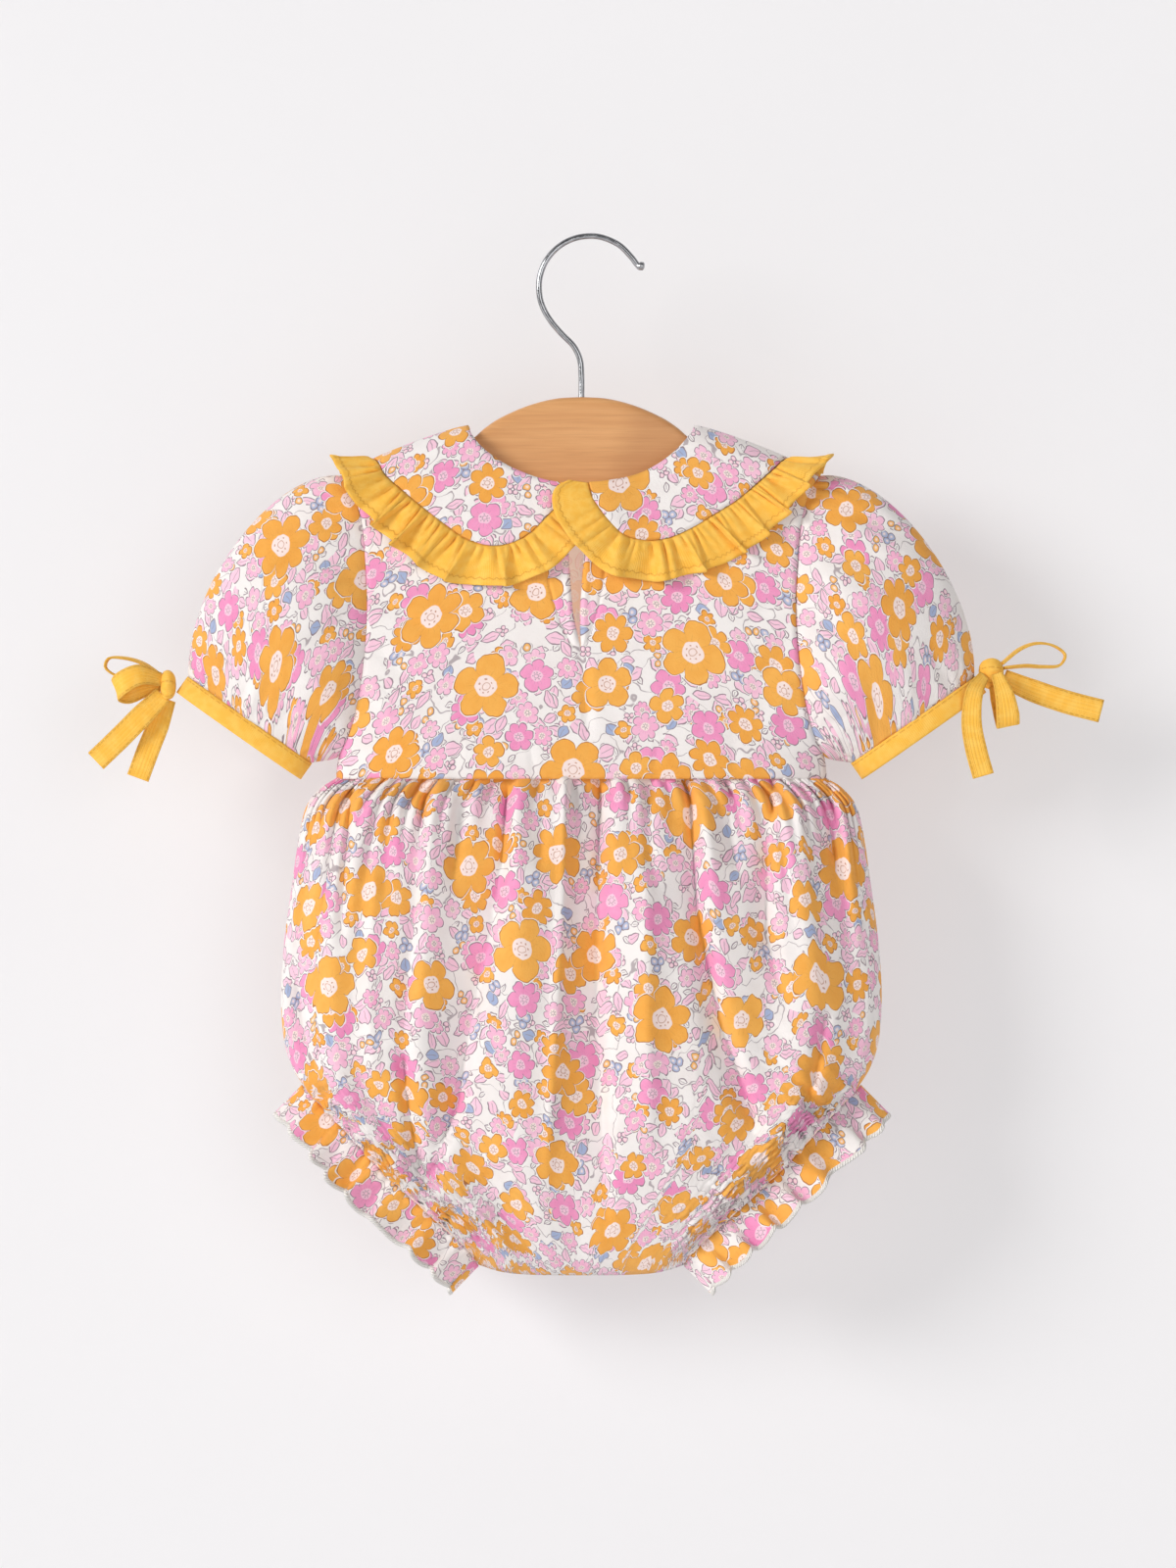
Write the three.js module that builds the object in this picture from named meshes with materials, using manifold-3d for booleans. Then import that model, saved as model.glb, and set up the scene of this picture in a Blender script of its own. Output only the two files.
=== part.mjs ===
// A baby's bubble romper on a small wooden hanger, with its buttoning back towards -Y.
// Millimetres, +Z up, +X to the viewer's right. The origin is under the crook of the hanger's hook,
// where a rail would touch it. Cloth is a wall between an outer and an inner skin of points.
import * as THREE from 'three';
import { mergeVertices } from 'three/addons/utils/BufferGeometryUtils.js';
import Module from 'manifold-3d';

const wasm = await Module();
wasm.setup();

// Driving dimensions.
const CLOTH = 1.2;
const SEAM_GAP = 0.3;
const GARMENT_X = -4;
const NECK_HALF = 52;
const NECK_Z = -89;
const SHOULDER_HALF = 111.5;
const SHOULDER_FALL = 0.37;
const SHOULDER_EASE = 8;
const ARCH = 8;
const BACK_NECK_DROP = 25;
const FRONT_NECK_DROP = 47;
const SHOULDER_SHARE = 0.25;
const WAIST_Z = -253.5;
const WAIST_HALF = 115;
const UNDERARM_Z = -243;

// Sections of the bodice from the neck to the waist: how far each panel stands off the middle plane,
// and the half width at which back and front would meet.
const BODICE_SECTIONS = [
  { z: -80, depth: 9.5, half: 156 },
  { z: -120, depth: 12, half: 154 },
  { z: -160, depth: 14, half: 149 },
  { z: -198, depth: 15.4, half: 139 },
  { z: -218, depth: 16, half: 126 },
  { z: -234, depth: 16.6, half: 117 },
  { z: UNDERARM_Z, depth: 17, half: 113.5 },
  { z: WAIST_Z, depth: 17.5, half: WAIST_HALF },
];

// The armhole seam from the shoulder to the underarm, then the side seam to the waist.
const BODICE_SIDE = [
  { z: -111, x: SHOULDER_HALF },
  { z: -120, x: 106.5 },
  { z: -134, x: 102.5 },
  { z: -150, x: 101 },
  { z: -174, x: 100 },
  { z: -198, x: 101.5 },
  { z: -218, x: 104.5 },
  { z: -234, x: 109 },
  { z: UNDERARM_Z, x: 113.5 },
  { z: WAIST_Z, x: WAIST_HALF },
];

// The opening at the centre back, from its foot up to the neckline.
const BACK_SLIT = [
  { z: -192, left: -0.6, right: 0 },
  { z: -178, left: -3.8, right: -0.4 },
  { z: -168, left: -4.8, right: 0 },
  { z: -148, left: -6.2, right: 1.4 },
  { z: -108, left: -6.8, right: 2.6 },
];

// Rows of the bubble from the waist to the crotch. edgeZ is where the row meets the side or the leg
// opening, edgeDepth how far that edge stands off the middle plane, pleat the height of the gathers.
const GATHERS = 46;
const FINE_ROWS = 3;
const BUBBLE_ROWS = [
  { z: -253.65, half: 115, edgeZ: -253.65, depth: 17, edgeDepth: 0, pleat: 1, fold: 0.15 },
  { z: -257, half: 121, edgeZ: -257, depth: 20, edgeDepth: 0, pleat: 1.5, fold: 0.35 },
  { z: -265, half: 128, edgeZ: -265, depth: 24, edgeDepth: 0, pleat: 1.2, fold: 0.6 },
  { z: -277, half: 131.5, edgeZ: -277, depth: 26, edgeDepth: 0, pleat: 0, fold: 0.9 },
  { z: -300, half: 135, edgeZ: -300, depth: 28.5, edgeDepth: 0, pleat: 0, fold: 1 },
  { z: -330, half: 139, edgeZ: -330, depth: 31, edgeDepth: 0, pleat: 0, fold: 1 },
  { z: -360, half: 140.5, edgeZ: -358, depth: 32, edgeDepth: 0, pleat: 0, fold: 0.9 },
  { z: -386, half: 138, edgeZ: -381, depth: 32, edgeDepth: 0, pleat: 0, fold: 0.8 },
  { z: -408, half: 130, edgeZ: -397, depth: 31.5, edgeDepth: 0.5, pleat: 0, fold: 0.7 },
  { z: -428, half: 113, edgeZ: -414, depth: 29.5, edgeDepth: 12, pleat: 0, fold: 0.55 },
  { z: -447, half: 91, edgeZ: -437, depth: 25.5, edgeDepth: 16, pleat: 0, fold: 0.45 },
  { z: -464, half: 67, edgeZ: -459.5, depth: 19.5, edgeDepth: 14, pleat: 0, fold: 0.35 },
  { z: -477, half: 51.5, edgeZ: -474.5, depth: 12, edgeDepth: 8, pleat: 0, fold: 0.15 },
  { z: -484.5, half: 48.5, edgeZ: -480, depth: 4, edgeDepth: 2.5, pleat: 0, fold: 0 },
  { z: -486, half: 48, edgeZ: -481, depth: 0.15, edgeDepth: 0.15, pleat: 0, fold: 0 },
];
const FIRST_LEG_ROW = 8;

// The largest folds of the bubble: where each leaves the waist (-1 left seam to 1 right seam), how far
// it stands out (in where negative), its half width, and how far it leans outwards by the bottom.
const BACK_FOLDS = [
  { at: -0.9, out: 2.6, width: 0.055, lean: -0.02 },
  { at: -0.78, out: -2.4, width: 0.05, lean: -0.02 },
  { at: -0.62, out: 3.4, width: 0.065, lean: -0.03 },
  { at: -0.5, out: -3, width: 0.045, lean: -0.05 },
  { at: -0.36, out: 3.2, width: 0.06, lean: -0.04 },
  { at: -0.24, out: -3.6, width: 0.05, lean: -0.06 },
  { at: -0.12, out: 3.6, width: 0.05, lean: -0.03 },
  { at: -0.01, out: -3.4, width: 0.05, lean: 0 },
  { at: 0.12, out: 3.2, width: 0.055, lean: 0.01 },
  { at: 0.24, out: 2.2, width: 0.05, lean: 0.03 },
  { at: 0.4, out: -3.4, width: 0.05, lean: 0.05 },
  { at: 0.54, out: 3.2, width: 0.06, lean: 0.04 },
  { at: 0.68, out: -2.6, width: 0.05, lean: 0.05 },
  { at: 0.84, out: 2.8, width: 0.065, lean: 0.02 },
];
const FRONT_FOLDS = [
  { at: -0.88, out: 2.6, width: 0.06, lean: -0.02 },
  { at: -0.7, out: -2.8, width: 0.05, lean: -0.03 },
  { at: -0.55, out: 3.2, width: 0.06, lean: -0.04 },
  { at: -0.37, out: -3.2, width: 0.05, lean: -0.04 },
  { at: -0.2, out: 3.4, width: 0.06, lean: -0.02 },
  { at: -0.04, out: -3, width: 0.05, lean: 0 },
  { at: 0.13, out: 3.2, width: 0.06, lean: 0.02 },
  { at: 0.3, out: -3.4, width: 0.05, lean: 0.04 },
  { at: 0.47, out: 3, width: 0.06, lean: 0.04 },
  { at: 0.63, out: -2.6, width: 0.05, lean: 0.04 },
  { at: 0.8, out: 3, width: 0.065, lean: 0.02 },
];

// Sleeve: the cuff's upper and lower ends, how deep it is, and how the cloth leaves armhole and cuff.
const CUFF_TOP = { x: 184, z: -205.5 };
const CUFF_FOOT = { x: 127, z: -245.5 };
const CUFF_DEPTH = 12;
const SLEEVE_LEAVES = {
  top: { x: 30, y: 0, z: 4 },
  middle: { x: 22, y: 27, z: -4 },
  foot: { x: 3, y: 0, z: -2 },
};
const SLEEVE_ARRIVES = {
  top: { x: 1.5, y: 0, z: 44 },
  middle: { x: -22, y: 26, z: 30 },
  foot: { x: -4, y: 0, z: 1 },
};
const SLEEVE_GATHERS = 9;
const SLEEVE_ROWS = [0, 0.09, 0.22, 0.42, 0.64, 0.84, 0.95, 1];
const BINDING = 9;
const BINDING_WALL = 2;

// Collar: the back and the front lobe of one side, as rows from the centre to the shoulder. The neck
// edge is sewn into the neckline, and the outer edge carries the frill.
const COLLAR_LIFT = 3;
const COLLAR_BACK_LEFT = [
  { neckX: 4.5, neckZ: -115.4, edgeX: 8.5, edgeZ: -123 },
  { neckX: 9.5, neckZ: -115, edgeX: 16.5, edgeZ: -131 },
  { neckX: 15, neckZ: -114.2, edgeX: 24, edgeZ: -138.5 },
  { neckX: 21, neckZ: -112.6, edgeX: 33, edgeZ: -143.3 },
  { neckX: 27, neckZ: -110.4, edgeX: 43, edgeZ: -144.5 },
  { neckX: 33, neckZ: -107.8, edgeX: 53, edgeZ: -141.6 },
  { neckX: 38.5, neckZ: -104.6, edgeX: 63, edgeZ: -135 },
  { neckX: 43.5, neckZ: -101, edgeX: 73, edgeZ: -127.3 },
  { neckX: 48, neckZ: -96.8, edgeX: 83, edgeZ: -119 },
  { neckX: 51.5, neckZ: -92, edgeX: 92, edgeZ: -110.5 },
];
const COLLAR_BACK_RIGHT = [
  { neckX: 3.5, neckZ: -115.2, edgeX: 5.5, edgeZ: -122.5 },
  { neckX: 8.5, neckZ: -114.8, edgeX: 12.5, edgeZ: -132.5 },
  { neckX: 14, neckZ: -114, edgeX: 20, edgeZ: -139.5 },
  { neckX: 20.5, neckZ: -112.8, edgeX: 30, edgeZ: -142 },
  { neckX: 27.5, neckZ: -110.6, edgeX: 41, edgeZ: -140.8 },
  { neckX: 34, neckZ: -107.4, edgeX: 52, edgeZ: -136 },
  { neckX: 40, neckZ: -103.4, edgeX: 62, edgeZ: -129.8 },
  { neckX: 45, neckZ: -99, edgeX: 72, edgeZ: -123.6 },
  { neckX: 49, neckZ: -94.6, edgeX: 82, edgeZ: -115.2 },
  { neckX: 51.8, neckZ: -91, edgeX: 91, edgeZ: -107 },
];
const COLLAR_FRONT = [
  { neckX: 3, neckZ: -137, edgeX: 9, edgeZ: -147 },
  { neckX: 9, neckZ: -136.5, edgeX: 15, edgeZ: -155 },
  { neckX: 16, neckZ: -135, edgeX: 24, edgeZ: -161 },
  { neckX: 23.5, neckZ: -132, edgeX: 35, edgeZ: -163 },
  { neckX: 30.5, neckZ: -127.5, edgeX: 46, edgeZ: -161 },
  { neckX: 36.5, neckZ: -122, edgeX: 57, edgeZ: -155 },
  { neckX: 42, neckZ: -115.5, edgeX: 67.5, edgeZ: -146 },
  { neckX: 46.5, neckZ: -108.5, edgeX: 77, edgeZ: -134.5 },
  { neckX: 50, neckZ: -101, edgeX: 86, edgeZ: -122 },
  { neckX: 52, neckZ: -94, edgeX: 93, edgeZ: -110 },
];
const COLLAR_SHOULDER = { neckX: 53.5, edgeX: 98 };
const COLLAR_STRIPS = 3;
const FRILL_WIDTH = 19.5;
const FRILL_WAVES = 20;
const FRILL_SWING = 2.2;
const FRILL_ROUND = 0.035;
const OVERLAP_LIFT = 4.5;
const OVERLAP_REACH = 34;

// Frill round each leg opening, beyond the elastic.
const LEG_FRILL = 19;
const LEG_WAVES = 16;
const LEG_SWING = 3;
const LEG_END_ROUND = 1.6;

// The ties that leave the cuffs in a bow: centre lines, with the direction of the tie's width as its
// angle in the picture (lay) and its tip towards the viewer, in degrees, and its width there. A row
// with a seat is an end at the knot, that far off it.
const TIE_WALL = 2;
const KNOT_LEFT = { x: -193.9, y: -1.5, z: -209.5, halfX: 4.2, halfY: 5, halfZ: 7 };
const KNOT_RIGHT = { x: 192.2, y: -1.5, z: -203.5, halfX: 6.6, halfY: 5, halfZ: 7.2 };
const LEFT_LOOP_FRONT = [
  { x: -198.6, y: -4.5, z: -205.5, lay: 105, tip: 0, wide: 6.5, seat: 0.6 },
  { x: -207, y: -9.5, z: -204.8, lay: 108, tip: 0, wide: 10 },
  { x: -215.2, y: -9, z: -208.8, lay: 112, tip: 10, wide: 11 },
  { x: -217.6, y: -5.5, z: -211.8, lay: 112, tip: 14, wide: 11 },
  { x: -213, y: -2.5, z: -213, lay: 112, tip: 10, wide: 11 },
  { x: -205.5, y: -1.6, z: -210.6, lay: 110, tip: 0, wide: 9.5 },
  { x: -198.8, y: -1.5, z: -209.4, lay: 100, tip: 0, wide: 6, seat: 0.5 },
];
const LEFT_LOOP_REAR = [
  { x: -198.4, y: 4, z: -202.6, lay: 80, tip: 80, wide: 6, seat: 0.45 },
  { x: -207, y: 6.5, z: -198.8, lay: 75, tip: 84, wide: 9 },
  { x: -216, y: 7, z: -196.4, lay: 80, tip: 86, wide: 10.5 },
  { x: -222.5, y: 7, z: -196.8, lay: 120, tip: 88, wide: 10.7 },
  { x: -224, y: 7, z: -200.8, lay: 170, tip: 88, wide: 10.7 },
  { x: -219, y: 7, z: -204.8, lay: 230, tip: 88, wide: 10 },
  { x: -208, y: 6, z: -206.8, lay: 265, tip: 86, wide: 8.5 },
  { x: -198.6, y: 4, z: -207.9, lay: 265, tip: 82, wide: 6, seat: 0.45 },
];
const LEFT_TAIL_FRONT = [
  { x: -197.4, y: -4.5, z: -216.6, lay: 130, tip: 0, wide: 9, seat: 0.45 },
  { x: -206, y: -5.5, z: -224, lay: 134, tip: 0, wide: 10.7 },
  { x: -216, y: -5, z: -234, lay: 136, tip: 0, wide: 10.7 },
  { x: -227.5, y: -4, z: -245, lay: 136, tip: 0, wide: 10.7 },
];
const LEFT_TAIL_REAR = [
  { x: -194.2, y: -0.6, z: -218, lay: 165, tip: 0, wide: 8, seat: 0.45 },
  { x: -198.6, y: 0, z: -228, lay: 160, tip: 0, wide: 10.4 },
  { x: -203.4, y: 0, z: -240, lay: 158, tip: 0, wide: 10.7 },
  { x: -208.2, y: 0, z: -253, lay: 158, tip: 0, wide: 10.7 },
];
const RIGHT_LOOP_UPPER = [
  { x: 200.6, y: -1, z: -196.6, lay: 115, tip: 82, wide: 5, seat: 0.45 },
  { x: 206, y: 0, z: -192.4, lay: 115, tip: 84, wide: 8 },
  { x: 213.5, y: 0, z: -189.8, lay: 100, tip: 86, wide: 8.5 },
  { x: 221.5, y: 0, z: -190.9, lay: 65, tip: 88, wide: 8.5 },
  { x: 227, y: 0, z: -195.4, lay: 25, tip: 88, wide: 8.5 },
  { x: 224.6, y: 0, z: -200, lay: -50, tip: 88, wide: 8.5 },
  { x: 216.5, y: 0, z: -200.8, lay: -88, tip: 86, wide: 8.5 },
  { x: 208.5, y: -0.5, z: -200.4, lay: -90, tip: 84, wide: 8 },
  { x: 201.4, y: -1, z: -200.2, lay: -90, tip: 82, wide: 5, seat: 0.45 },
];
const RIGHT_LOOP_LOWER = [
  { x: 195.6, y: -9.6, z: -204.5, lay: 14, tip: 0, wide: 5.5, seat: 1.5 },
  { x: 197.6, y: -11.6, z: -214, lay: 14, tip: 0, wide: 9 },
  { x: 199.2, y: -11.2, z: -223.4, lay: 13, tip: 0, wide: 11 },
  { x: 199.6, y: -7.6, z: -228.4, lay: 12, tip: 0, wide: 11 },
  { x: 198.6, y: -4, z: -223.4, lay: 12, tip: 0, wide: 11 },
  { x: 196.4, y: -3.6, z: -215, lay: 13, tip: 0, wide: 10 },
  { x: 194.6, y: -4.4, z: -210.4, lay: 14, tip: 0, wide: 7, seat: 0.7 },
];
const RIGHT_TAIL_INNER = [
  { x: 187.6, y: -7.6, z: -205.4, lay: -50, tip: 0, wide: 5.5, seat: 1.5 },
  { x: 183.6, y: -12, z: -213, lay: -25, tip: 0, wide: 8.5 },
  { x: 182.3, y: -11, z: -227, lay: -2, tip: 0, wide: 9.6 },
  { x: 184.6, y: -9.5, z: -240, lay: 14, tip: 0, wide: 10.2 },
  { x: 188, y: -8.5, z: -252, lay: 22, tip: 0, wide: 10.2 },
];
const RIGHT_TAIL_OUTER = [
  { x: 200.8, y: -1, z: -207.4, lay: 66, tip: 0, wide: 8.5, seat: 0.45 },
  { x: 212, y: 0, z: -212, lay: 70, tip: 0, wide: 10.7 },
  { x: 228, y: 0, z: -217.4, lay: 74, tip: 0, wide: 11 },
  { x: 244, y: 0, z: -221.6, lay: 76, tip: 0, wide: 11 },
];

// Hanger: the wood's upper and lower edge out from its middle, then the wire of its hook from the tip.
const WOOD_THICK = 9.6;
const WOOD_ROUND = 2.6;
const WOOD = [
  { x: 0, top: -74.2, bottom: -121 },
  { x: 12, top: -75, bottom: -121 },
  { x: 25, top: -78.3, bottom: -121.4 },
  { x: 38, top: -84, bottom: -122.4 },
  { x: 45, top: -88.6, bottom: -123.2 },
  { x: 50, top: -93, bottom: -123.8 },
  { x: 54, top: -96, bottom: -124.4 },
  { x: 66, top: -99.8, bottom: -126.4 },
  { x: 84, top: -105, bottom: -130 },
  { x: 102, top: -111, bottom: -134.6 },
  { x: 114, top: -115.6, bottom: -138 },
  { x: 119.5, top: -120, bottom: -136.6 },
  { x: 121.5, top: -125, bottom: -131.6 },
];
const WIRE_R = 1.4;
const STEM_X = 0;
const STEM_HOLE = 12;
const HOOK_WIRE = [
  { x: 29.7, z: -12.9, r: 1 },
  { x: 29, z: -12.8, r: 2 },
  { x: 27.4, z: -12.6, r: 2.1 },
  { x: 26.2, z: -12, r: WIRE_R },
  { x: 23.7, z: -8.8, r: WIRE_R },
  { x: 17.8, z: -2.9, r: WIRE_R },
  { x: 10.2, z: 0.6, r: WIRE_R },
  { x: 4, z: WIRE_R, r: WIRE_R },
  { x: -4.2, z: -0.05, r: WIRE_R },
  { x: -11.4, z: -4.2, r: WIRE_R },
  { x: -16.8, z: -10.6, r: WIRE_R },
  { x: -19.6, z: -18.4, r: WIRE_R },
  { x: -19.6, z: -26.8, r: WIRE_R },
  { x: -17.8, z: -32.7, r: WIRE_R },
  { x: -14.6, z: -38.2, r: WIRE_R },
  { x: -9.4, z: -44.4, r: WIRE_R },
  { x: -3.6, z: -50.4, r: WIRE_R },
  { x: -0.7, z: -56.6, r: WIRE_R },
  { x: STEM_X, z: -64, r: WIRE_R },
  { x: STEM_X, z: -74, r: WIRE_R },
  { x: STEM_X, z: WOOD[0].top - STEM_HOLE + 0.5, r: WIRE_R },
];

const lerp = THREE.MathUtils.lerp;
const clamp = THREE.MathUtils.clamp;
const smooth = (x, low, high) => THREE.MathUtils.smoothstep(x, low, high);
const vec = (x, y, z) => new THREE.Vector3(x, y, z);
const UP = vec(0, 0, 1);

// A smooth curve through one column of a table, against another column that rises or falls steadily.
function along(rows, key, column, at) {
  const falling = rows[rows.length - 1][key] < rows[0][key];
  const last = rows.length - 1;
  let i = 0;
  while (i < last - 1 && (falling ? at < rows[i + 1][key] : at > rows[i + 1][key])) i += 1;
  const slope = (j) => {
    const low = rows[Math.max(j - 1, 0)];
    const high = rows[Math.min(j + 1, last)];
    return (high[column] - low[column]) / (high[key] - low[key]);
  };
  const step = rows[i + 1][key] - rows[i][key];
  const t = clamp((at - rows[i][key]) / step, 0, 1);
  const t2 = t * t;
  const t3 = t2 * t;
  return (2 * t3 - 3 * t2 + 1) * rows[i][column] + (t3 - 2 * t2 + t) * step * slope(i) +
    (3 * t2 - 2 * t3) * rows[i + 1][column] + (t3 - t2) * step * slope(i + 1);
}

// Height of the shoulder line over x: level across the neck, then falling to the sleeve.
function shoulderZ(x) {
  const past = Math.abs(x) - NECK_HALF;
  return NECK_Z - SHOULDER_FALL * (Math.hypot(past, SHOULDER_EASE) + past) / 2;
}

// How far the bodice stands off the middle plane at x and z, below the arch over the hanger.
function bodiceDepth(x, z) {
  const share = Math.min(Math.abs(x) / along(BODICE_SECTIONS, 'z', 'half', z), 1);
  return along(BODICE_SECTIONS, 'z', 'depth', z) * Math.sqrt(1 - share ** 4);
}

// The cloth's own coordinates: x, and the length down from the shoulder line, over the arch.
// side is -1 for the back, which faces -Y, and 1 for the front.
function onBodice(x, down, side, lift = 0) {
  const arch = ARCH + lift;
  const quarter = arch * Math.PI / 2;
  const turn = Math.min(down / arch, Math.PI / 2);
  const z = shoulderZ(x) + lift - arch * (1 - Math.cos(turn)) - Math.max(down - quarter, 0);
  return vec(x, side * Math.sin(turn) * (bodiceDepth(x, z) + lift), z);
}

// The length down from the shoulder line to a height z.
function downTo(x, z, lift = 0) {
  const arch = ARCH + lift;
  const below = Math.max(shoulderZ(x) + lift - z, 0);
  return below < arch ? arch * Math.acos(1 - below / arch) : below + arch * (Math.PI / 2 - 1);
}

// Triangles between two rows of a skin, which have the same number of points, or twice as many above.
function stitch(a, b, faces) {
  if (a.length === b.length) {
    for (let i = 0; i < a.length - 1; i += 1) {
      faces.push(a[i], b[i], a[i + 1], a[i + 1], b[i], b[i + 1]);
    }
    return;
  }
  for (let i = 0; i < b.length - 1; i += 1) {
    const k = 2 * i;
    faces.push(a[k], b[i], a[k + 1], a[k + 1], b[i], b[i + 1], a[k + 1], b[i + 1], a[k + 2]);
  }
}

// A closed wall of cloth from rows of points down its middle, as wide apart as thickness. A closed
// wall is a tube, whose rows come round to their first point. Where a skin ends on the middle plane
// its wall ends along that plane, and the first and last rows end square to the directions in ends,
// so that pieces meet at a seam without crossing.
function clothWall(rows, thickness, { closed = false, ends = {} } = {}) {
  const points = [];
  const skins = [[], []];
  rows.forEach((row, j) => {
    const outer = [];
    const inner = [];
    row.forEach((p, i) => {
      const last = row.length - 1;
      const before = closed ? row[(i + last) % (last + 1)] : row[Math.max(i - 1, 0)];
      const after = closed ? row[(i + 1) % (last + 1)] : row[Math.min(i + 1, last)];
      const share = closed ? i / (last + 1) : i / last;
      const near = (other) => other[Math.round(share * (closed ? other.length : other.length - 1))];
      const above = j > 0 ? near(rows[j - 1]) : p;
      const below = j < rows.length - 1 ? near(rows[j + 1]) : p;
      const across = after.clone().sub(before);
      const normal = across.cross(below.clone().sub(above));
      if (Math.abs(p.y) <= SEAM_GAP) normal.setY(0);
      const square = j === 0 ? ends.first : j === rows.length - 1 && ends.last;
      if (square) normal.addScaledVector(square, -normal.dot(square));
      normal.normalize().multiplyScalar(thickness / 2);
      outer.push(points.push(p.clone().add(normal)) - 1);
      inner.push(points.push(p.clone().sub(normal)) - 1);
    });
    if (closed) {
      outer.push(outer[0]);
      inner.push(inner[0]);
    }
    skins[0].push(outer);
    skins[1].push(inner);
  });
  const faces = [];
  for (let j = 0; j < rows.length - 1; j += 1) {
    stitch(skins[0][j], skins[0][j + 1], faces);
    const back = [];
    stitch(skins[1][j], skins[1][j + 1], back);
    for (let k = 0; k < back.length; k += 3) faces.push(back[k], back[k + 2], back[k + 1]);
  }
  const end = rows.length - 1;
  stitch(skins[1][0], skins[0][0], faces);
  stitch(skins[0][end], skins[1][end], faces);
  if (!closed) {
    const column = (skin, at) => skin.map((row) => (at ? row[row.length - 1] : row[0]));
    stitch(column(skins[0], 0), column(skins[1], 0), faces);
    stitch(column(skins[1], 1), column(skins[0], 1), faces);
  }
  return geometryOf(points, faces);
}

// A geometry from points and faces, turned so that its volume is positive.
function geometryOf(points, faces) {
  const volume = faces.reduce((sum, _, k) => {
    if (k % 3) return sum;
    const [a, b, c] = [points[faces[k]], points[faces[k + 1]], points[faces[k + 2]]];
    return sum + a.dot(b.clone().cross(c));
  }, 0);
  const turned = volume < 0 ? [...faces].reverse() : faces;
  return new THREE.BufferGeometry().setFromPoints(points).setIndex(turned);
}

function solidOf(geometry) {
  const bare = geometry.clone();
  bare.deleteAttribute('normal');
  bare.deleteAttribute('uv');
  const merged = mergeVertices(bare, 1e-4);
  return new wasm.Manifold(new wasm.Mesh({
    numProp: 3,
    vertProperties: merged.attributes.position.array,
    triVerts: new Uint32Array(merged.index.array),
  }));
}

function geometryOfSolid(solid) {
  const mesh = solid.getMesh();
  return new THREE.BufferGeometry()
    .setAttribute('position', new THREE.BufferAttribute(mesh.vertProperties, 3))
    .setIndex(new THREE.BufferAttribute(mesh.triVerts, 1));
}

// A prism over an outline in x and z, from yLow to yHigh.
function prism(outline, yLow, yHigh) {
  const shape = new THREE.Shape(outline.map((p) => new THREE.Vector2(p.x, p.z)));
  const geometry = new THREE.ExtrudeGeometry(shape, { depth: yHigh - yLow, bevelEnabled: false });
  return geometry.rotateX(Math.PI / 2).translate(0, yHigh, 0);
}

// The bodice's back or front as a patch between its neck and shoulder edge, its waist and its sides.
function bodicePanel(side, neckDrop) {
  const columns = 28;
  const rows = [0, 0.025, 0.055, 0.1, 0.22, 0.38, 0.55, 0.72, 0.86, 0.94, 1];
  const top = (u) => {
    const inNeck = clamp((u - SHOULDER_SHARE) / (1 - 2 * SHOULDER_SHARE), 0, 1);
    const turn = Math.PI * (1 - Math.cos(Math.PI * inNeck)) / 2;
    const edge = u < 0.5 ? u / SHOULDER_SHARE : (1 - u) / SHOULDER_SHARE;
    const x = inNeck > 0 && inNeck < 1
      ? -NECK_HALF * Math.cos(turn)
      : Math.sign(u - 0.5) * lerp(SHOULDER_HALF, NECK_HALF, Math.min(edge, 1));
    const drop = downTo(x, shoulderZ(NECK_HALF) - neckDrop * Math.sin(turn));
    return { x, down: Math.max(SEAM_GAP / 2, inNeck > 0 && inNeck < 1 ? drop : 0) };
  };
  const bottom = (u) => {
    const x = lerp(-WAIST_HALF, WAIST_HALF, u);
    return { x, down: downTo(x, WAIST_Z + SEAM_GAP / 2) };
  };
  const edge = (v) => {
    const z = lerp(BODICE_SIDE[0].z, WAIST_Z + SEAM_GAP / 2, v);
    const x = along(BODICE_SIDE, 'z', 'x', z);
    return { x, down: v === 0 ? SEAM_GAP / 2 : downTo(x, z) };
  };
  const patch = (u, v) => {
    const [t, b, e] = [top(u), bottom(u), edge(v)];
    const [t0, b0] = [top(0), bottom(0)];
    const blend = (name, left) => lerp(t[name], b[name], v) + lerp(left, name === 'x' ? e[name] : left, u) -
      lerp(lerp(t0[name], b0[name], v), lerp(top(1)[name], bottom(1)[name], v), u);
    const x = blend('x', -e.x);
    const down = blend('down', e.down);
    const p = onBodice(x, down, side);
    p.y = side * Math.max(Math.abs(p.y), SEAM_GAP / 2);
    return p;
  };
  const points = rows.map((v) => Array.from({ length: columns + 1 }, (_, i) => patch(i / columns, v)));
  return clothWall(points, CLOTH, { ends: { last: UP } });
}

// The bodice back, cut down the centre to the foot of its opening.
function bodiceBack() {
  const outline = [
    ...BACK_SLIT.map((row) => ({ x: row.left, z: row.z })),
    ...[...BACK_SLIT].reverse().map((row) => ({ x: row.right, z: row.z })),
  ];
  const slit = solidOf(prism(outline, -40, -1));
  return geometryOfSolid(solidOf(bodicePanel(-1, BACK_NECK_DROP)).subtract(slit));
}

// A share from -1 to 1 across a panel, eased so that its columns run on round the sides.
const acrossPanel = (share) => share * (1.5 - 0.5 * share * share);

// One point of the bubble before its folds: share runs from -1 at the left edge to 1 at the right.
function bubblePoint(row, share, side) {
  const s = acrossPanel(share);
  const round = Math.sqrt(Math.max(1 - s ** 4, 0));
  const z = lerp(row.z, row.edgeZ, s ** 4);
  return vec(row.half * s, side * (row.edgeDepth + (row.depth - row.edgeDepth) * round), z);
}

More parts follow.
